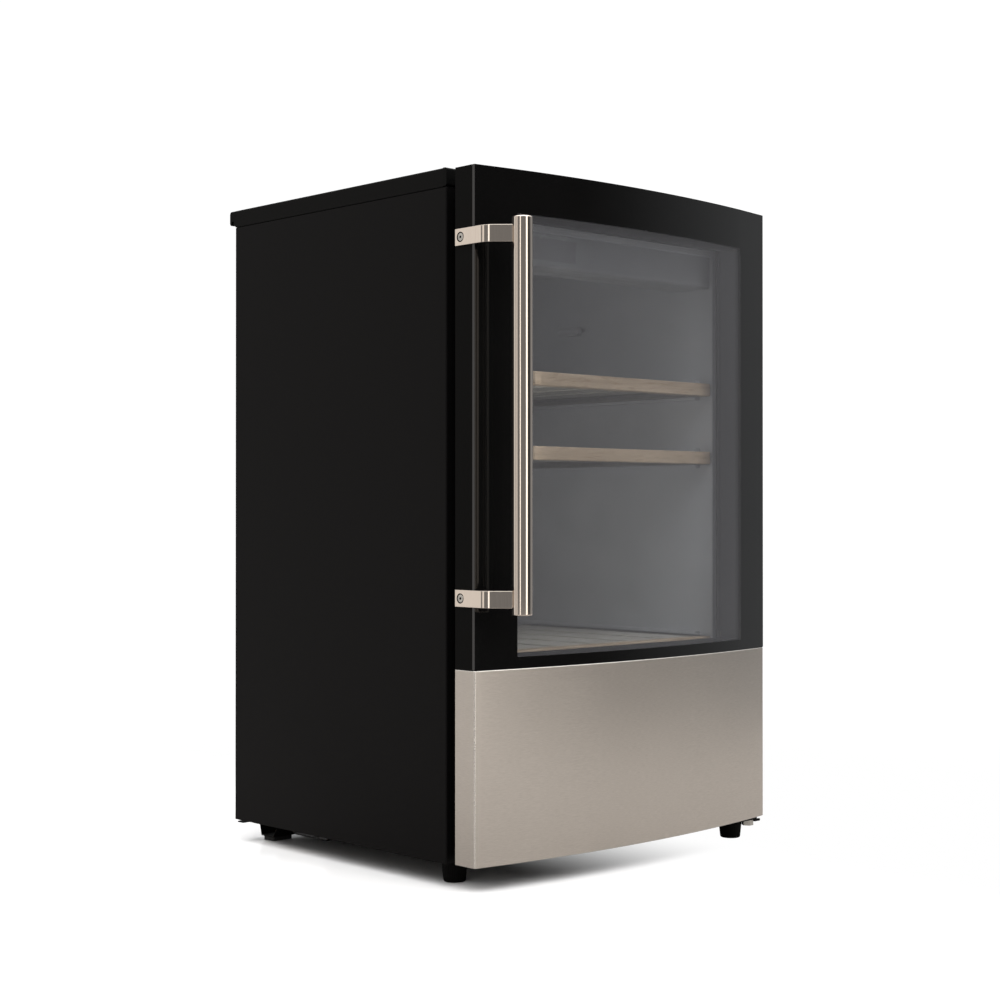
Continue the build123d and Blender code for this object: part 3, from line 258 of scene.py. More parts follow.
def make_cavity_light():
    """Soft light inside the cavity, shining on the right wall and the shelves, itself unseen."""
    data = bpy.data.lights.new("cavity_light", "AREA")
    data.shape = "RECTANGLE"
    data.size, data.size_y = CAVITY_LIGHT_SIZE
    data.energy = CAVITY_LIGHT_POWER
    light = bpy.data.objects.new("cavity_light", data)
    bpy.context.scene.collection.objects.link(light)
    light.location = CAVITY_LIGHT_PLACE
    light.rotation_euler = Vector((1, 0, 0)).to_track_quat("-Z", "Y").to_euler()
    light.visible_camera = False
    light.visible_glossy = False


FLOOR_RADIUS = 2.6
FLOOR_CORNERS = 96
FLOOR_COLOUR = (0.93, 0.93, 0.935, 1)
FLOOR_GLOSS = 0.16
FLOOR_BOUNCE = (0.30, 0.29, 0.28, 1)
FLOOR_PAINTED_LIGHT = (-0.15, 0.20)
FLOOR_FADE = (0.35, 0.95)


def make_floor():
    """Pale floor: faintly glossy white to the camera, turning towards +X into painted light, an even
    glow with no shadow; a darker bounce to everything else.
    """
    bpy.ops.mesh.primitive_circle_add(vertices=FLOOR_CORNERS, radius=FLOOR_RADIUS, fill_type="NGON")
    floor = bpy.context.object
    floor.name = "floor"
    material = bpy.data.materials.new("floor")
    graph = Graph(material)
    path = graph.nodes.new("ShaderNodeLightPath")
    place = graph.nodes.new("ShaderNodeTexCoord").outputs["Object"]
    parts = graph.nodes.new("ShaderNodeSeparateXYZ")
    graph.links.new(place, parts.inputs[0])
    reach = graph.nodes.new("ShaderNodeVectorMath")
    reach.operation = "LENGTH"
    graph.links.new(place, reach.inputs[0])

    glossy = graph.shader("ShaderNodeBsdfPrincipled", Base_Color=FLOOR_COLOUR, Roughness=FLOOR_GLOSS)
    glow = graph.shader("ShaderNodeEmission")
    bounce = graph.shader("ShaderNodeBsdfDiffuse", Color=FLOOR_BOUNCE)
    nothing = graph.shader("ShaderNodeBsdfTransparent")
    # Painted light: towards +X the floor seen by the camera becomes plain emission, which lifts the
    # shadow under the right-hand side of the object.
    painted_light_mix = graph.mix(ease(graph, parts.outputs["X"], *FLOOR_PAINTED_LIGHT), glossy, glow)
    seen = graph.mix(path.outputs["Is Camera Ray"], bounce, painted_light_mix)
    fade_start, fade_end = (FLOOR_RADIUS * share for share in FLOOR_FADE)
    edge = graph.mix(ease(graph, reach.outputs["Value"], fade_start, fade_end), seen, nothing)
    output = graph.nodes.new("ShaderNodeOutputMaterial")
    graph.links.new(edge, output.inputs["Surface"])
    floor.data.materials.append(material)


# ---- Material building blocks -----------------------------------------------------------------
class Surface:
    """A material with one Principled shader and short calls for the nodes that feed it."""

    def __init__(self, name, colour, roughness, metallic=0.0, specular=0.5, coat=0.0):
        self.material = bpy.data.materials.new(name)
        self.material.use_nodes = True
        self.nodes = self.material.node_tree.nodes
        self.links = self.material.node_tree.links
        self.shader = self.nodes["Principled BSDF"]
        self.set("Base Color", (*colour, 1))
        self.set("Roughness", roughness)
        self.set("Metallic", metallic)
        self.set("Specular IOR Level", specular)
        self.set("Coat Weight", coat)
        self.place = self.nodes.new("ShaderNodeTexCoord").outputs["Object"]

    def set(self, socket, value):
        self.shader.inputs[socket].default_value = value

    def drive(self, socket, output):
        self.links.new(output, self.shader.inputs[socket])

    def stretched(self, scale, turn=(0, 0, 0)):
        """Object coordinates scaled by a different amount along each axis."""
        node = self.nodes.new("ShaderNodeMapping")
        node.inputs["Scale"].default_value = scale
        node.inputs["Rotation"].default_value = turn
        self.links.new(self.place, node.inputs["Vector"])
        return node.outputs[0]

    def noise(self, scale, detail=3.0, roughness=0.5, vector=None, distortion=0.0):
        node = self.nodes.new("ShaderNodeTexNoise")
        node.inputs["Scale"].default_value = scale
        node.inputs["Detail"].default_value = detail
        node.inputs["Roughness"].default_value = roughness
        node.inputs["Distortion"].default_value = distortion
        self.links.new(vector or self.place, node.inputs["Vector"])
        return node.outputs["Fac"]

    def wave(self, scale, distortion, detail, vector=None, direction="X"):
        node = self.nodes.new("ShaderNodeTexWave")
        node.bands_direction = direction
        node.inputs["Scale"].default_value = scale
        node.inputs["Distortion"].default_value = distortion
        node.inputs["Detail"].default_value = detail
        self.links.new(vector or self.place, node.inputs["Vector"])
        return node.outputs["Fac"]

    def cells(self, scale, vector=None):
        node = self.nodes.new("ShaderNodeTexVoronoi")
        node.inputs["Scale"].default_value = scale
        self.links.new(vector or self.place, node.inputs["Vector"])
        return node.outputs["Distance"]

    def spread(self, value, low, high, start=0.0, end=1.0):
        """Map a value's range start..end onto low..high."""
        node = self.nodes.new("ShaderNodeMapRange")
        node.inputs["From Min"].default_value = start
        node.inputs["From Max"].default_value = end
        node.inputs["To Min"].default_value = low
        node.inputs["To Max"].default_value = high
        self.links.new(value, node.inputs["Value"])
        return node.outputs["Result"]

    def blend(self, value, *stops):
        """Colour ramp through (position, colour) stops."""
        node = self.nodes.new("ShaderNodeValToRGB")
        ramp = node.color_ramp
        while len(ramp.elements) < len(stops):
            ramp.elements.new(0.5)
        for element, (position, colour) in zip(ramp.elements, stops):
            element.position = position
            element.color = (*colour, 1)
        self.links.new(value, node.inputs["Fac"])
        return node.outputs["Color"]

    def product(self, first, second):
        node = self.nodes.new("ShaderNodeMath")
        node.operation = "MULTIPLY"
        self.links.new(first, node.inputs[0])
        self.links.new(second, node.inputs[1])
        return node.outputs[0]

    def bump(self, value, strength, distance):
        node = self.nodes.new("ShaderNodeBump")
        node.inputs["Strength"].default_value = strength
        node.inputs["Distance"].default_value = distance
        self.links.new(value, node.inputs["Height"])
        self.drive("Normal", node.outputs[0])


# ---- Materials --------------------------------------------------------------------------------
MATT_BLACK = 0.055


def painted_sheet(name, colour, roughness=0.34):
    """Powder-coated steel: fine orange peel and slow changes of gloss."""
    surface = Surface(name, colour, roughness, specular=MATT_BLACK)
    broad = surface.noise(3.0, 2.0)
    light = tuple(min(1.0, c * 1.22 + 0.0003) for c in colour)
    surface.drive("Base Color", surface.blend(broad, (0.3, colour), (0.75, light)))
    surface.drive("Roughness", surface.spread(broad, roughness - 0.05, roughness + 0.07))
    surface.bump(surface.noise(900.0, 2.0), 0.10, 0.0002)
    return surface.material


def moulded_plastic(name, colour, roughness=0.42, grain=1600.0, specular=0.5):
    """Spark-eroded plastic: fine even grain and a little unevenness of colour."""
    surface = Surface(name, colour, roughness, specular=specular)
    broad = surface.noise(14.0, 3.0)
    light = tuple(min(1.0, c * 1.15 + 0.0002) for c in colour)
    surface.drive("Base Color", surface.blend(broad, (0.25, colour), (0.8, light)))
    surface.drive("Roughness", surface.spread(broad, roughness - 0.04, roughness + 0.08))
    surface.bump(surface.noise(grain, 2.0), 0.16, 0.0002)
    return surface.material


def brushed_metal(name, dark, light, roughness, stretch, anisotropic=0.75, relief=0.10):
    """Steel with fine lines: stretch is small along the lines and large across them."""
    surface = Surface(name, dark, roughness, metallic=1.0)
    lines = surface.noise(1.0, 4.0, 0.65, surface.stretched(stretch))
    wide = surface.noise(1.0, 2.0, 0.5, surface.stretched(tuple(s * 0.18 for s in stretch)))
    patches = surface.noise(5.0, 3.0, 0.55)
    fine = surface.spread(lines, 0.85, 1.15, 0.3, 0.7)
    tone = surface.product(fine, surface.spread(patches, 0.9, 1.1))
    shade = surface.spread(tone, 0.0, 1.0, 0.8, 1.2)
    surface.drive("Base Color", surface.blend(shade, (0.1, dark), (0.9, light)))
    gloss = surface.product(surface.spread(wide, 0.85, 1.15), surface.spread(patches, 0.92, 1.08))
    surface.drive("Roughness", surface.spread(gloss, roughness * 0.8, roughness * 1.2, 0.8, 1.2))
    surface.set("Anisotropic", anisotropic)
    surface.bump(lines, relief, 0.00012)
    return surface.material


def zinc_plate(name="zinc"):
    """Zinc-plated steel: soft crystalline patches."""
    surface = Surface(name, (0.50, 0.48, 0.44), 0.34, metallic=1.0)
    patches = surface.noise(55.0, 2.0, 0.4, distortion=1.5)
    tone = surface.blend(patches, (0.3, (0.46, 0.445, 0.41)), (0.7, (0.53, 0.51, 0.475)))
    surface.drive("Base Color", tone)
    surface.drive("Roughness", surface.spread(surface.noise(60.0, 3.0), 0.24, 0.46))
    surface.bump(surface.noise(400.0, 3.0), 0.12, 0.0002)
    return surface.material


def copper_pipe(name="copper"):
    """Copper tube with brown tarnish in patches."""
    surface = Surface(name, (0.62, 0.27, 0.13), 0.32, metallic=1.0)
    tarnish = surface.noise(38.0, 4.0, 0.6)
    tone = surface.blend(tarnish, (0.3, (0.36, 0.15, 0.07)), (0.7, (0.70, 0.33, 0.17)))
    surface.drive("Base Color", tone)
    surface.drive("Roughness", surface.spread(tarnish, 0.48, 0.24))
    surface.bump(surface.noise(500.0, 2.0), 0.08, 0.0002)
    return surface.material


def soft_rubber(name, colour=(0.011, 0.011, 0.011)):
    """Matt rubber with a trace of dust."""
    surface = Surface(name, colour, 0.62, specular=0.35)
    dust = surface.noise(60.0, 5.0, 0.6)
    light = tuple(c * 1.9 + 0.002 for c in colour)
    surface.drive("Base Color", surface.blend(dust, (0.35, colour), (0.8, light)))
    surface.drive("Roughness", surface.spread(dust, 0.52, 0.78))
    surface.bump(surface.noise(1200.0, 3.0), 0.25, 0.0002)
    return surface.material


def wood(name, tones):
    """Lacquered wood: long grain along X, small dark flecks and pores; tones from dark to light."""
    surface = Surface(name, tones[1], 0.42, coat=0.12)
    grain = surface.noise(1.0, 5.0, 0.62, surface.stretched((5.0, 90.0, 90.0)), 0.6)
    flecks = surface.noise(1.0, 2.0, 0.5, surface.stretched((60.0, 520.0, 520.0)))
    tone = surface.blend(grain, (0.25, tones[0]), (0.5, tones[1]), (0.78, tones[2]))
    mix = surface.nodes.new("ShaderNodeMix")
    mix.data_type = "RGBA"
    mix.blend_type = "MULTIPLY"
    surface.links.new(surface.spread(flecks, 0.0, 0.55, 0.56, 0.66), mix.inputs["Factor"])
    surface.links.new(tone, mix.inputs["A"])
    mix.inputs["B"].default_value = (0.70, 0.60, 0.50, 1)
    surface.drive("Base Color", mix.outputs["Result"])
    surface.drive("Roughness", surface.spread(grain, 0.52, 0.34))
    surface.bump(grain, 0.14, 0.0003)
    return surface.material


def beech():
    """Warm beech of the shelf fronts."""
    return wood("beech", ((0.44, 0.32, 0.21), (0.55, 0.42, 0.29), (0.64, 0.51, 0.37)))


def pale_slats():
    """Bleached wood of the slats."""
    return wood("pale_slats", ((0.46, 0.44, 0.38), (0.55, 0.53, 0.47), (0.62, 0.60, 0.54)))


def rigid_foam(name="insulation"):
    """Yellow foam with small open pores, each painted darker towards its middle as painted shade in
    the hollow.
    """
    surface = Surface(name, (0.72, 0.56, 0.27), 0.85, specular=0.2)
    pores = surface.cells(600.0)
    # Painted shade: the dark end of the tone sits in the middle of each pore, where the bump makes a
    # hollow.
    tone = surface.blend(pores, (0.05, (0.45, 0.33, 0.14)), (0.5, (0.76, 0.60, 0.31)))
    surface.drive("Base Color", tone)
    surface.bump(pores, 0.5, 0.0006)
    return surface.material


def printed_black(name="black_border"):
    """Black enamel fired onto the back of the glass, seen under its polished face."""
    surface = Surface(name, (0.0030, 0.0029, 0.0029), 0.02, specular=0.5)
    film = surface.noise(6.0, 3.0)
    tone = surface.blend(film, (0.3, (0.0026, 0.0025, 0.0025)), (0.7, (0.0038, 0.0037, 0.0036)))
    surface.drive("Base Color", tone)
    surface.drive("Roughness", surface.spread(film, 0.012, 0.045))
    return surface.material


HEAD_ON_MIRROR = 0.04
MIRROR_ROUGHNESS = (0.010, 0.022)
FILM_COLOUR = (0.87, 0.87, 0.93, 1)
FILM_CHANGE = 0.1


def window_glass(name, tint, veil=0.0):
    """Tinted see-through with a mirror share that grows at a slant, under a faint haze."""
    material = bpy.data.materials.new(name)
    graph = Graph(material)
    slant = graph.nodes.new("ShaderNodeLayerWeight")
    slant.inputs["Blend"].default_value = 0.5
    steep = graph.nodes.new("ShaderNodeMath")
    steep.operation = "POWER"
    steep.inputs[1].default_value = 5.0
    graph.links.new(slant.outputs["Facing"], steep.inputs[0])
    share = graph.spread(steep.outputs[0], HEAD_ON_MIRROR, 1.0)
    place = graph.nodes.new("ShaderNodeTexCoord")
    smear = graph.nodes.new("ShaderNodeTexNoise")
    smear.inputs["Scale"].default_value = 7.0
    smear.inputs["Detail"].default_value = 4.0
    graph.links.new(place.outputs["Object"], smear.inputs["Vector"])
    mirror = graph.nodes.new("ShaderNodeBsdfGlossy")
    graph.links.new(graph.spread(smear.outputs["Fac"], *MIRROR_ROUGHNESS), mirror.inputs["Roughness"])
    through = graph.shader("ShaderNodeBsdfTransparent", Color=(*tint, 1))
    film = graph.shader("ShaderNodeBsdfDiffuse", Color=FILM_COLOUR)
    film_share = graph.spread(smear.outputs["Fac"], veil * (1 - FILM_CHANGE), veil * (1 + FILM_CHANGE))
    clean = graph.mix(share, through, mirror.outputs[0])
    output = graph.nodes.new("ShaderNodeOutputMaterial")
    graph.links.new(graph.mix(film_share, clean, film), output.inputs["Surface"])
    return material


def lamp_diffuser(name, colour):
    """Milky plastic with fine ribs."""
    surface = Surface(name, colour, 0.35)
    ribs = surface.wave(180.0, 0.0, 0.0)
    surface.bump(ribs, 0.4, 0.0004)
    surface.drive("Roughness", surface.spread(ribs, 0.25, 0.45))
    return surface.material


def circuit_board(name="circuit_board"):
    """Green board with winding tracks."""
    surface = Surface(name, (0.012, 0.10, 0.035), 0.35, coat=0.4)
    tracks = surface.wave(60.0, 6.0, 3.0)
    tone = surface.blend(tracks, (0.45, (0.010, 0.085, 0.03)), (0.55, (0.02, 0.16, 0.06)))
    surface.drive("Base Color", tone)
    surface.bump(tracks, 0.2, 0.0002)
    return surface.material


FINE_GRAIN = 1600.0
COARSE_GRAIN = 700.0

MATERIALS = {
    "cabinet_steel": painted_sheet("cabinet_steel", (0.0030, 0.0027, 0.0028)),
    "worktop_board": moulded_plastic(
        "worktop_board", (0.0022, 0.0021, 0.0020), 0.38, COARSE_GRAIN, MATT_BLACK
    ),
    "black_trim": moulded_plastic(
        "black_trim", (0.0017, 0.0017, 0.0016), 0.40, FINE_GRAIN, MATT_BLACK
    ),
    "zinc_steel": zinc_plate(),
    "black_steel": painted_sheet("black_steel", (0.0036, 0.0036, 0.0036), 0.42),
    "insulation": rigid_foam(),
    "liner_plastic": moulded_plastic("liner_plastic", (0.475, 0.48, 0.49), 0.40, 1100.0),
    "black_rubber": soft_rubber("black_rubber"),
    "copper": copper_pipe(),
    "black_plastic": moulded_plastic(
        "black_plastic", (0.0022, 0.0021, 0.0021), 0.45, FINE_GRAIN, MATT_BLACK
    ),
    "tray_plastic": moulded_plastic("tray_plastic", (0.50, 0.50, 0.47), 0.5),
    "aluminium": brushed_metal(
        "aluminium", (0.52, 0.52, 0.53), (0.66, 0.66, 0.67), 0.35, (6, 300, 300)
    ),
    "circuit_board": circuit_board(),
    "display_gloss": moulded_plastic("display_gloss", (0.30, 0.305, 0.315), 0.2, 300.0),
    "lamp_plastic": lamp_diffuser("lamp_plastic", (0.55, 0.56, 0.57)),
    "beech": beech(),
    "front_glass": window_glass("front_glass", (0.91, 0.91, 0.92), 0.027),
    "inner_glass": window_glass("inner_glass", (0.94, 0.95, 0.95)),
    "stainless": brushed_metal(
        "stainless", (0.52, 0.475, 0.43), (0.63, 0.58, 0.53), 0.36, (130, 130, 2200), 0.75, 0.05
    ),
    "handle_steel": brushed_metal(
        "handle_steel", (0.56, 0.49, 0.43), (0.62, 0.55, 0.485), 0.09, (1500, 1500, 25), 0.0, 0.012
    ),
    "door_plastic": moulded_plastic(
        "door_plastic", (0.0010, 0.0009, 0.0008), 0.42, FINE_GRAIN, MATT_BLACK
    ),
}


def dress_cad():
    """Give every CAD node the detailed material of its slot in the record."""
    slots = {part["node"]: part["material_slot"] for part in frame["record"]["subparts"]}
    own = {
        "control_housing": moulded_plastic("housing_plastic", (0.30, 0.305, 0.315), 0.45, 1100.0),
        "temperature_sensor": MATERIALS["liner_plastic"],
        "lamp_cover": lamp_diffuser("lamp_cover", (0.32, 0.325, 0.335)),
    }
    slats = pale_slats()
    own.update({f"shelf_{name}_slats": slats for name in ("bottom", "middle", "top")})
    for name, node in NODES.items():
        node.data.materials.clear()
        node.data.materials.append(own.get(name) or MATERIALS[slots[name]])


# ---- Mesh building blocks -----------------------------------------------------------------------
def new_piece(name, mesh, slot, body, replaced=(), material=None):
    """Put a finished mesh in the scene as a named piece of the object."""
    piece = bpy.data.objects.new(name, mesh)
    bpy.context.scene.collection.objects.link(piece)
    mesh.materials.append(material or MATERIALS[slot])
    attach(piece, body)
    if replaced:
        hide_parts(*replaced)
    return piece


def mesh_from(name, points, faces):
    """Flat-shaded mesh with its normals outward."""
    mesh = bpy.data.meshes.new(name)
    mesh.from_pydata([tuple(p) for p in points], [], faces)
    mesh.validate()
    mesh.update()
    tidy_normals(mesh)
    return mesh


def tidy_normals(mesh):
    """Turn every face outward."""
    form = bmesh.new()
    form.from_mesh(mesh)
    bmesh.ops.recalc_face_normals(form, faces=form.faces)
    form.to_mesh(mesh)
    form.free()


def soften(piece, width, segments=2, angle=35):
    """Rounded edges, with flat faces kept flat."""
    bevel = piece.modifiers.new("soft_edges", "BEVEL")
    bevel.width = width
    bevel.segments = segments
    bevel.limit_method = "ANGLE"
    bevel.angle_limit = radians(angle)
    bevel.harden_normals = True
    for polygon in piece.data.polygons:
        polygon.use_smooth = True


def lathe(profile, centre, segments=96):
    """Points and faces of a solid turned about an upright axis; profile is (radius, z) pairs."""
    points, faces = [], []
    count = len(profile)
    for turn in range(segments):
        angle = 2 * pi * turn / segments
        for radius, z in profile:
            points.append((centre[0] + radius * cos(angle), centre[1] + radius * sin(angle), z))
    for turn in range(segments):
        here, there = turn * count, (turn + 1) % segments * count
        for step in range(count - 1):
            faces.append((here + step, there + step, there + step + 1, here + step + 1))
    faces.append([turn * count for turn in range(segments)])
    faces.append([turn * count + count - 1 for turn in range(segments)])
    return points, faces


def arc_points(centre, radius, start, end, steps):
    """Points along an arc in degrees, both ends included."""
    turns = [radians(start + (end - start) * step / steps) for step in range(steps + 1)]
    return [(centre[0] + radius * cos(t), centre[1] + radius * sin(t)) for t in turns]


def loft(rings):
    """Join rings of equally many points into a skin, with a face on each end."""
    count = len(rings[0])
    points = [p for ring in rings for p in ring]
    faces = []
    for row in range(len(rings) - 1):
        for step in range(count):
            a = row * count + step
            b = row * count + (step + 1) % count
            faces.append((a, b, b + count, a + count))
    faces.append(list(range(count)))
    faces.append(list(range(len(points) - count, len(points))))
    return points, faces


# ---- Door: curved glass --------------------------------------------------------------------------
GLASS_COLUMNS = 72
GLASS_ARRIS = 0.18 * MM


def curved_block(x_low, x_high, z_low, z_high, thickness):
    """Part of the curved front between two x and two z."""
    rings = []
    for column in range(GLASS_COLUMNS + 1):
        x = x_low + (x_high - x_low) * column / GLASS_COLUMNS
        front, back = front_y(x), front_y(x, thickness)
        rings.append([(x, front, z_low), (x, front, z_high), (x, back, z_high), (x, back, z_low)])
    return loft(rings)


def make_front_glass():
    """Curved front glass: a clear window inside a border of black enamel."""
    window = curved_block(-WINDOW_HALF, WINDOW_HALF, WINDOW_BOTTOM, WINDOW_TOP, GLASS_THICKNESS)
    mesh = mesh_from("front_glass_window", *window)
    piece = new_piece("front_glass_window", mesh, "front_glass", "door", ("door_glass_outer",))
    smooth_by_angle(piece)
    border = bmesh.new()
    outline_x = (-HALF, -WINDOW_HALF, WINDOW_HALF, HALF)
    outline_z = (GLASS_LOW.z, WINDOW_BOTTOM, WINDOW_TOP, GLASS_HIGH.z)
    build_border(border, outline_x, outline_z)
    mesh = bpy.data.meshes.new("front_glass_border")
    border.to_mesh(mesh)
    border.free()
    tidy_normals(mesh)
    piece = new_piece(
        "front_glass_border", mesh, "front_glass", "door", ("door_glass_outer",), printed_black()
    )
    soften(piece, GLASS_ARRIS, 2, 50)


def build_border(form, xs, zs):
    """Curved frame with a rectangular opening, as one closed shell."""
    step = (xs[2] - xs[1]) / GLASS_COLUMNS
    columns = [xs[0]] + [xs[1] + step * index for index in range(GLASS_COLUMNS)] + [xs[2], xs[3]]
    left, right = 1, len(columns) - 2
    grid = {}
    for i, x in enumerate(columns):
        for j, z in enumerate(zs):
            for k, inset in enumerate((0.0, GLASS_THICKNESS)):
                grid[i, j, k] = form.verts.new((x, front_y(x, inset), z))

    def face(*corners):
        form.faces.new([grid[corner] for corner in corners])

    for i in range(len(columns) - 1):
        over_window = left <= i < right
        for j in range(3):
            if over_window and j == 1:
                continue
            for k in (0, 1):
                face((i, j, k), (i + 1, j, k), (i + 1, j + 1, k), (i, j + 1, k))
        for j in (0, 3, 1, 2) if over_window else (0, 3):
            face((i, j, 0), (i + 1, j, 0), (i + 1, j, 1), (i, j, 1))
    for j in range(3):
        for i in (0, len(columns) - 1):
            face((i, j, 0), (i, j + 1, 0), (i, j + 1, 1), (i, j, 1))
    for i in (left, right):
        face((i, 1, 0), (i, 2, 0), (i, 2, 1), (i, 1, 1))


MARK_SIZE = 6.0 * MM
MARK_WIDTH = 1.0 * MM
MARK_PLACES = ((-0.165, 1), (-0.135, -1))
MARK_HEIGHT = 0.7738
MARK_RISE = 0.8
MARK_SLOPE_WIDTH = 1.3
MARK_DEPTHS = (0.05 * MM, 0.15 * MM)


def make_touch_marks():
    """Up and down arrows printed behind the top of the front glass."""
    points, faces = [], []
    for centre, way in MARK_PLACES:
        for side in (-1, 1):
            start = len(points)
            for along, across in ((0, -0.5), (0, 0.5), (1, 0.5), (1, -0.5)):
                x = centre + side * along * MARK_SIZE
                rise = MARK_SIZE * MARK_RISE * (0.5 - along) + across * MARK_WIDTH * MARK_SLOPE_WIDTH
                z = MARK_HEIGHT + way * rise
                for depth in MARK_DEPTHS:
                    points.append((x, front_y(x, GLASS_THICKNESS) + depth, z))
            corners = [start + 2 * i for i in range(4)]
            faces.append(corners)
            faces.append([c + 1 for c in corners])
            for first, second in zip(corners, corners[1:] + corners[:1]):
                faces.append([first, second, second + 1, first + 1])
    mesh = mesh_from("touch_marks", points, faces)
    print_material = moulded_plastic("mark_print", (0.27, 0.275, 0.28), 0.5, 900.0)
    new_piece("touch_marks", mesh, "display_gloss", "door", material=print_material)


def smooth_by_angle(piece, angle=30):
    """Smooth shading except across sharp edges."""
    mesh = piece.data
    for polygon in mesh.polygons:
        polygon.use_smooth = True
    form = bmesh.new()
    form.from_mesh(mesh)
    for edge in form.edges:
        if len(edge.link_faces) == 2 and edge.calc_face_angle() > radians(angle):
            edge.smooth = False
    form.to_mesh(mesh)
    form.free()


# ---- Door: steel panel ------------------------------------------------------------------------------
FOLD_RADIUS = 1.6 * MM
FOLD_REACH = 4 * MM
SHEET = 0.8 * MM
LIP = 0.5 * MM
FRONT_STEPS = 96


def make_steel_panel():
    """Brushed steel sheet folded round the curved front and both sides of the lower door."""
    inner = panel_outline(SHEET)
    heights = [STEEL_LOW.z, STEEL_LOW.z + LIP, STEEL_HIGH.z - LIP, STEEL_HIGH.z]
    insets = [LIP * 0.7, 0.0, 0.0, LIP * 0.7]
    rings = []
    for z, inset in zip(heights, insets):
        outer = panel_outline(inset)
        rings.append([(x, y, z) for x, y in outer + inner[::-1]])
    points, faces = loft(rings)
    mesh = mesh_from("steel_panel", points, faces)
    piece = new_piece("steel_panel", mesh, "stainless", "door", ("door_lower_panel",))
    smooth_by_angle(piece, 25)
    # Painted highlight: the folds and the top and bottom lips get a lighter, smoother steel that
    # stands in for the bright lines of light along those edges.
    edge_highlight_steel = brushed_metal(
        "folded_edge_highlight", (0.63, 0.60, 0.56), (0.67, 0.64, 0.60), 0.26, (90, 90, 900), 0.0, 0.01
    )
    mesh.materials.append(edge_highlight_steel)
    for polygon in mesh.polygons:
        middle = polygon.center
        past_front = abs(middle.x) > HALF - FOLD_RADIUS * 0.97
        on_fold = past_front and middle.y < CORNER_Y + FOLD_RADIUS * 1.2
        on_lip = not STEEL_LOW.z + LIP < middle.z < STEEL_HIGH.z - LIP
        polygon.material_index = int(on_fold or on_lip)


def panel_outline(inset):
    """Plan of the sheet: left side, fold, curved front, fold, right side."""
    half = HALF - inset
    radius = FOLD_RADIUS - inset
    centre_x = HALF - FOLD_RADIUS
    touch_y = front_y(centre_x, 0) + 0.2 * MM
    centre_y = touch_y + FOLD_RADIUS
    left = [(-half, DOOR_HIGH.y), (-half, centre_y + FOLD_REACH)]
    left += arc_points((-centre_x, centre_y), radius, 180, 262, 8)
    front = []
    edge = centre_x - 0.5 * MM
    for step in range(1, FRONT_STEPS):
        x = -edge + 2 * edge * step / FRONT_STEPS
        front.append((x, front_y(x, inset)))
    right = [(-x, y) for x, y in reversed(left)]
    return left + front + right


# ---- Handle ---------------------------------------------------------------------------------------
BAR_THICKNESS = 3 * MM
BAR_BEND = 20 * MM
BAR_TURN = 45
WELD_DEPTH = 0.4 * MM
TUBE_ROUND = 1.6 * MM
TUBE_SEGMENTS = 128
SCREW_SEAT_RADIUS = 6.05 * MM


def make_handle():
    """Closed round tube with eased ends."""
    low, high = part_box("handle_tube")
    centre = ((low.x + high.x) / 2, (low.y + high.y) / 2)
    radius = (high.x - low.x) / 2
    profile = [(0.5 * MM, low.z)]
    profile += arc_points((radius - TUBE_ROUND, low.z + TUBE_ROUND), TUBE_ROUND, -90, 0, 6)
    profile += arc_points((radius - TUBE_ROUND, high.z - TUBE_ROUND), TUBE_ROUND, 0, 90, 6)
    profile += [(0.5 * MM, high.z)]
    mesh = mesh_from("handle_grip", *lathe(profile, centre, TUBE_SEGMENTS))
    piece = new_piece("handle_grip", mesh, "handle_steel", "door", ("handle_tube",))
    smooth_by_angle(piece, 40)


def make_handle_bar(node):
    """Flat bar along the door's side that bends out to the tube, with eased edges."""
    low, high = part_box(node)
    tube_low, tube_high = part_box("handle_tube")
    tube_x, tube_y = (tube_low.x + tube_high.x) / 2, (tube_low.y + tube_high.y) / 2
    slope = cos(radians(BAR_TURN))
    middle = BAR_BEND - BAR_THICKNESS / 2
    bend_x = low.x + BAR_BEND
    reach = (tube_x - bend_x) / slope + middle
    bend_y = tube_y + (middle + reach) * slope
    stop = (reach - (tube_high.x - tube_low.x) / 2 + WELD_DEPTH) * slope
    outer = [(low.x, high.y)]
    outer += arc_points((bend_x, bend_y), BAR_BEND, 180, 180 + BAR_TURN, 10)
    outer.append((outer[-1][0] + stop, outer[-1][1] - stop))
    inner = [(low.x + BAR_THICKNESS, high.y)]
    inner += arc_points((bend_x, bend_y), BAR_BEND - BAR_THICKNESS, 180, 180 + BAR_TURN, 10)
    inner.append((inner[-1][0] + stop, inner[-1][1] - stop))
    plan = outer + inner[::-1]
    rings = [[(x, y, z) for x, y in plan] for z in (low.z, high.z)]
    mesh = mesh_from(node + "_bar", *loft(rings))
    piece = new_piece(node + "_bar", mesh, "handle_steel", "door", (node,))
    soften(piece, 0.5 * MM, 3, 40)
    screw_low, screw_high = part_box("handle_screws")
    place = Vector((low.x, (screw_low.y + screw_high.y) / 2, (low.z + high.z) / 2))
    drill(piece, place)
    # Painted shade inside the countersink round the screw head, and, once the screw is made, inside
    # its hexagon socket.
    paint_hole_shade(piece, place, SCREW_SEAT_RADIUS, 0.05 * MM)
    screw = make_bar_screw(node + "_screw", place)
    paint_hole_shade(screw, place, SOCKET_CORNERS, HEAD_SINK + 0.02 * MM)


def paint_hole_shade(piece, place, radius, depth):
    """Painted shade: the dark black_steel material on the faces of a hole near place, deeper than
    depth from the bar's face, standing in for the shadow inside the hole.
    """
    mesh = piece.data
    mesh.materials.append(MATERIALS["black_steel"])
    for polygon in mesh.polygons:
        middle = polygon.center
        away = sqrt((middle.y - place.y) ** 2 + (middle.z - place.z) ** 2)
        if away < radius and middle.x > place.x + depth:
            polygon.material_index = len(mesh.materials) - 1


# Radius and depth under the bar's face, in millimetres.
COUNTERSINK = (
    (0.1, -1.0), (6.0, -1.0), (6.0, 0.0), (5.9, 0.5), (4.9, 0.8), (2.3, 3.0), (0.1, 3.0),
)


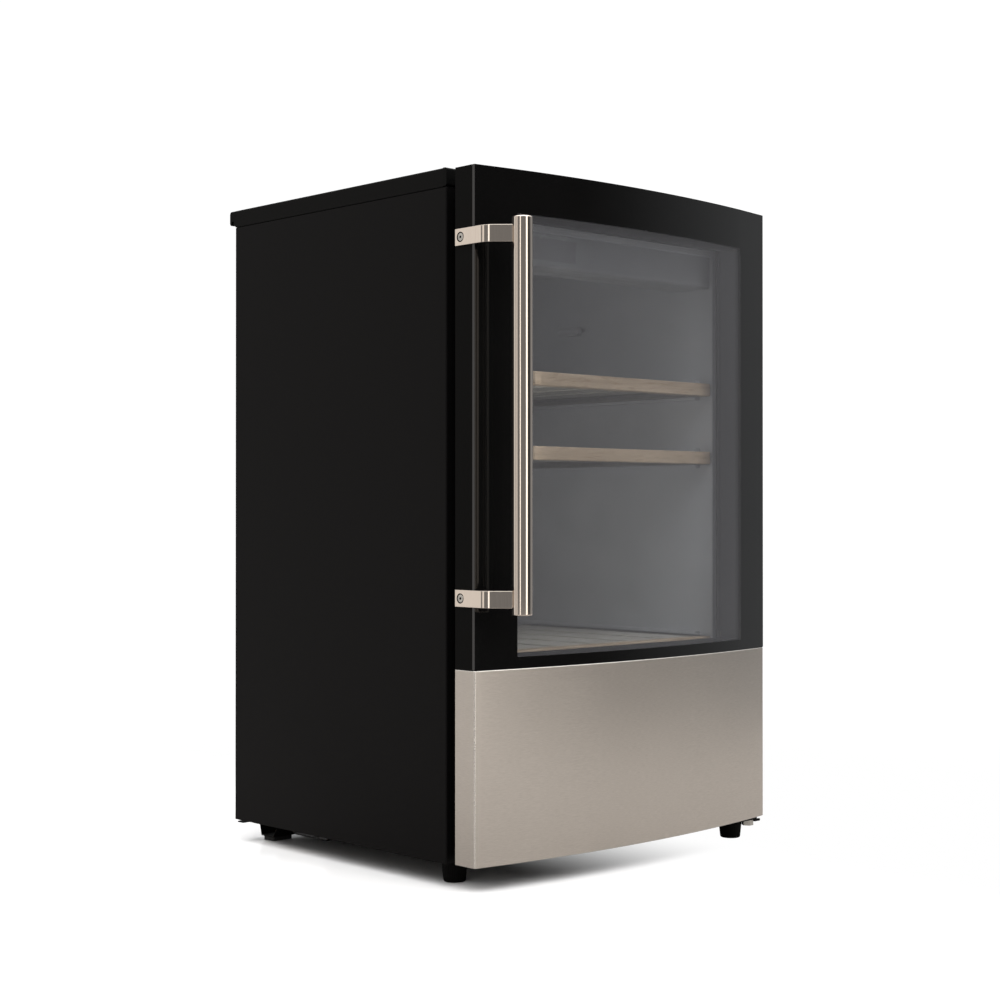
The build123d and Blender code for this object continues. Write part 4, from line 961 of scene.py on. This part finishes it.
def drill(piece, place):
    """Countersunk hole through the outer side of a bar."""
    profile = [(radius * MM, depth * MM) for radius, depth in COUNTERSINK]
    points, faces = lathe(profile, (0, 0), 64)
    turned = [(place[0] + z, place[1] + x, place[2] + y) for x, y, z in points]
    mesh = mesh_from("drill", turned, faces)
    cutter = bpy.data.objects.new("drill", mesh)
    bpy.context.scene.collection.objects.link(cutter)
    cut = piece.modifiers.new("hole", "BOOLEAN")
    cut.object = cutter
    cut.solver = "EXACT"
    bake_modifiers(piece)
    bpy.data.objects.remove(cutter)


SOCKET_FLATS = 1.6 * MM
SOCKET_CORNERS = SOCKET_FLATS * 1.16
SOCKET_DEPTH = 1.8 * MM
HEAD_SINK = 0.25 * MM
# Radius and depth under the bar's face, in millimetres.
SCREW_PROFILE = ((4.35, 0.25), (4.6, 0.32), (4.7, 0.5), (4.65, 0.75), (2.1, 2.9), (2.1, 19.0))
SCREW_SEGMENTS = 48


def make_bar_screw(name, place):
    """Countersunk screw with a hexagon socket, seen in the side of a bar."""
    turns = [2 * pi * turn / SCREW_SEGMENTS for turn in range(SCREW_SEGMENTS)]

    def ring(radius_at, depth):
        return [
            (place[0] + depth, place[1] + radius_at(t) * cos(t), place[2] + radius_at(t) * sin(t))
            for t in turns
        ]

    def hexagon(turn):
        return SOCKET_FLATS / cos(turn % (pi / 3) - pi / 6)

    rings = [ring(hexagon, HEAD_SINK + SOCKET_DEPTH), ring(hexagon, HEAD_SINK)]
    for radius, depth in SCREW_PROFILE:
        rings.append(ring(lambda turn, radius=radius: radius * MM, depth * MM))
    mesh = mesh_from(name, *loft(rings))
    piece = new_piece(name, mesh, "zinc_steel", "door", ("handle_screws",))
    smooth_by_angle(piece, 25)
    return piece


def bake_modifiers(piece):
    """Turn a piece's modifiers into plain mesh."""
    graph = bpy.context.evaluated_depsgraph_get()
    finished = bpy.data.meshes.new_from_object(piece.evaluated_get(graph))
    old = piece.data
    piece.modifiers.clear()
    piece.data = finished
    bpy.data.meshes.remove(old)


# ---- Feet -----------------------------------------------------------------------------------------
RIBS = 36
RIB_DEPTH = 0.45
# Radius and height over the floor, in millimetres: outside from the bottom up, then the hollow.
FOOT_PROFILE = (
    (11.8, 0.0), (12.7, 0.3), (13.4, 1.3), (13.7, 3.0), (14.1, 6.6), (15.0, 15.5), (15.4, 21.0),
    (15.6, 22.6), (15.2, 23.6), (14.4, 23.8),
)
FOOT_HOLLOW = ((10.2, 23.8), (10.2, 14.5), (4.1, 14.5))
RIBBED_PART = FOOT_PROFILE[3:7]


def make_foot(side):
    """Ribbed levelling foot round its threaded stud."""
    node = f"foot_{side}"
    low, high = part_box(node)
    centre = ((low.x + high.x) / 2, (low.y + high.y) / 2)
    segments = RIBS * 4
    rings = []
    for radius, z in FOOT_PROFILE + FOOT_HOLLOW:
        ring = []
        ribbed = (radius, z) in RIBBED_PART
        for turn in range(segments):
            depth = RIB_DEPTH if ribbed and turn % 4 in (0, 1) else 0.0
            angle = 2 * pi * turn / segments
            r = (radius - depth) * MM
            ring.append((centre[0] + r * cos(angle), centre[1] + r * sin(angle), low.z + z * MM))
        rings.append(ring)
    mesh = mesh_from(node + "_cup", *loft(rings))
    piece = new_piece(node + "_cup", mesh, "black_plastic", node, (node,))
    smooth_by_angle(piece, 50)
    make_stud(node, centre, low.z + FOOT_HOLLOW[-1][1] * MM, high.z)


THREAD_PITCH = 1.25 * MM
THREAD_ROOT = 3.5 * MM
THREAD_CREST = 3.98 * MM


def make_stud(node, centre, bottom, top):
    """Threaded stud: rounded thread crests turned as rings."""
    profile = [(0.3 * MM, bottom), (THREAD_ROOT, bottom)]
    z = bottom + 0.1 * MM
    while z + THREAD_PITCH < top:
        crest = (z + THREAD_PITCH * 0.4, z + THREAD_PITCH * 0.55)
        profile += [(THREAD_ROOT, z), (THREAD_CREST, crest[0]), (THREAD_CREST, crest[1])]
        z += THREAD_PITCH
    profile += [(THREAD_ROOT - 0.1 * MM, top), (0.3 * MM, top)]
    mesh = mesh_from(node + "_stud", *lathe(profile, centre, 40))
    piece = new_piece(node + "_stud", mesh, "zinc_steel", node, (node,))
    smooth_by_angle(piece, 25)


# ---- Build ----------------------------------------------------------------------------------------
make_camera()
make_light()
make_cavity_light()
make_floor()
dress_cad()
make_front_glass()
make_touch_marks()
make_steel_panel()
make_handle()
make_handle_bar("handle_bracket_lower")
make_handle_bar("handle_bracket_upper")
make_foot("left")
make_foot("right")

bpy.context.scene.view_settings.view_transform = "Standard"
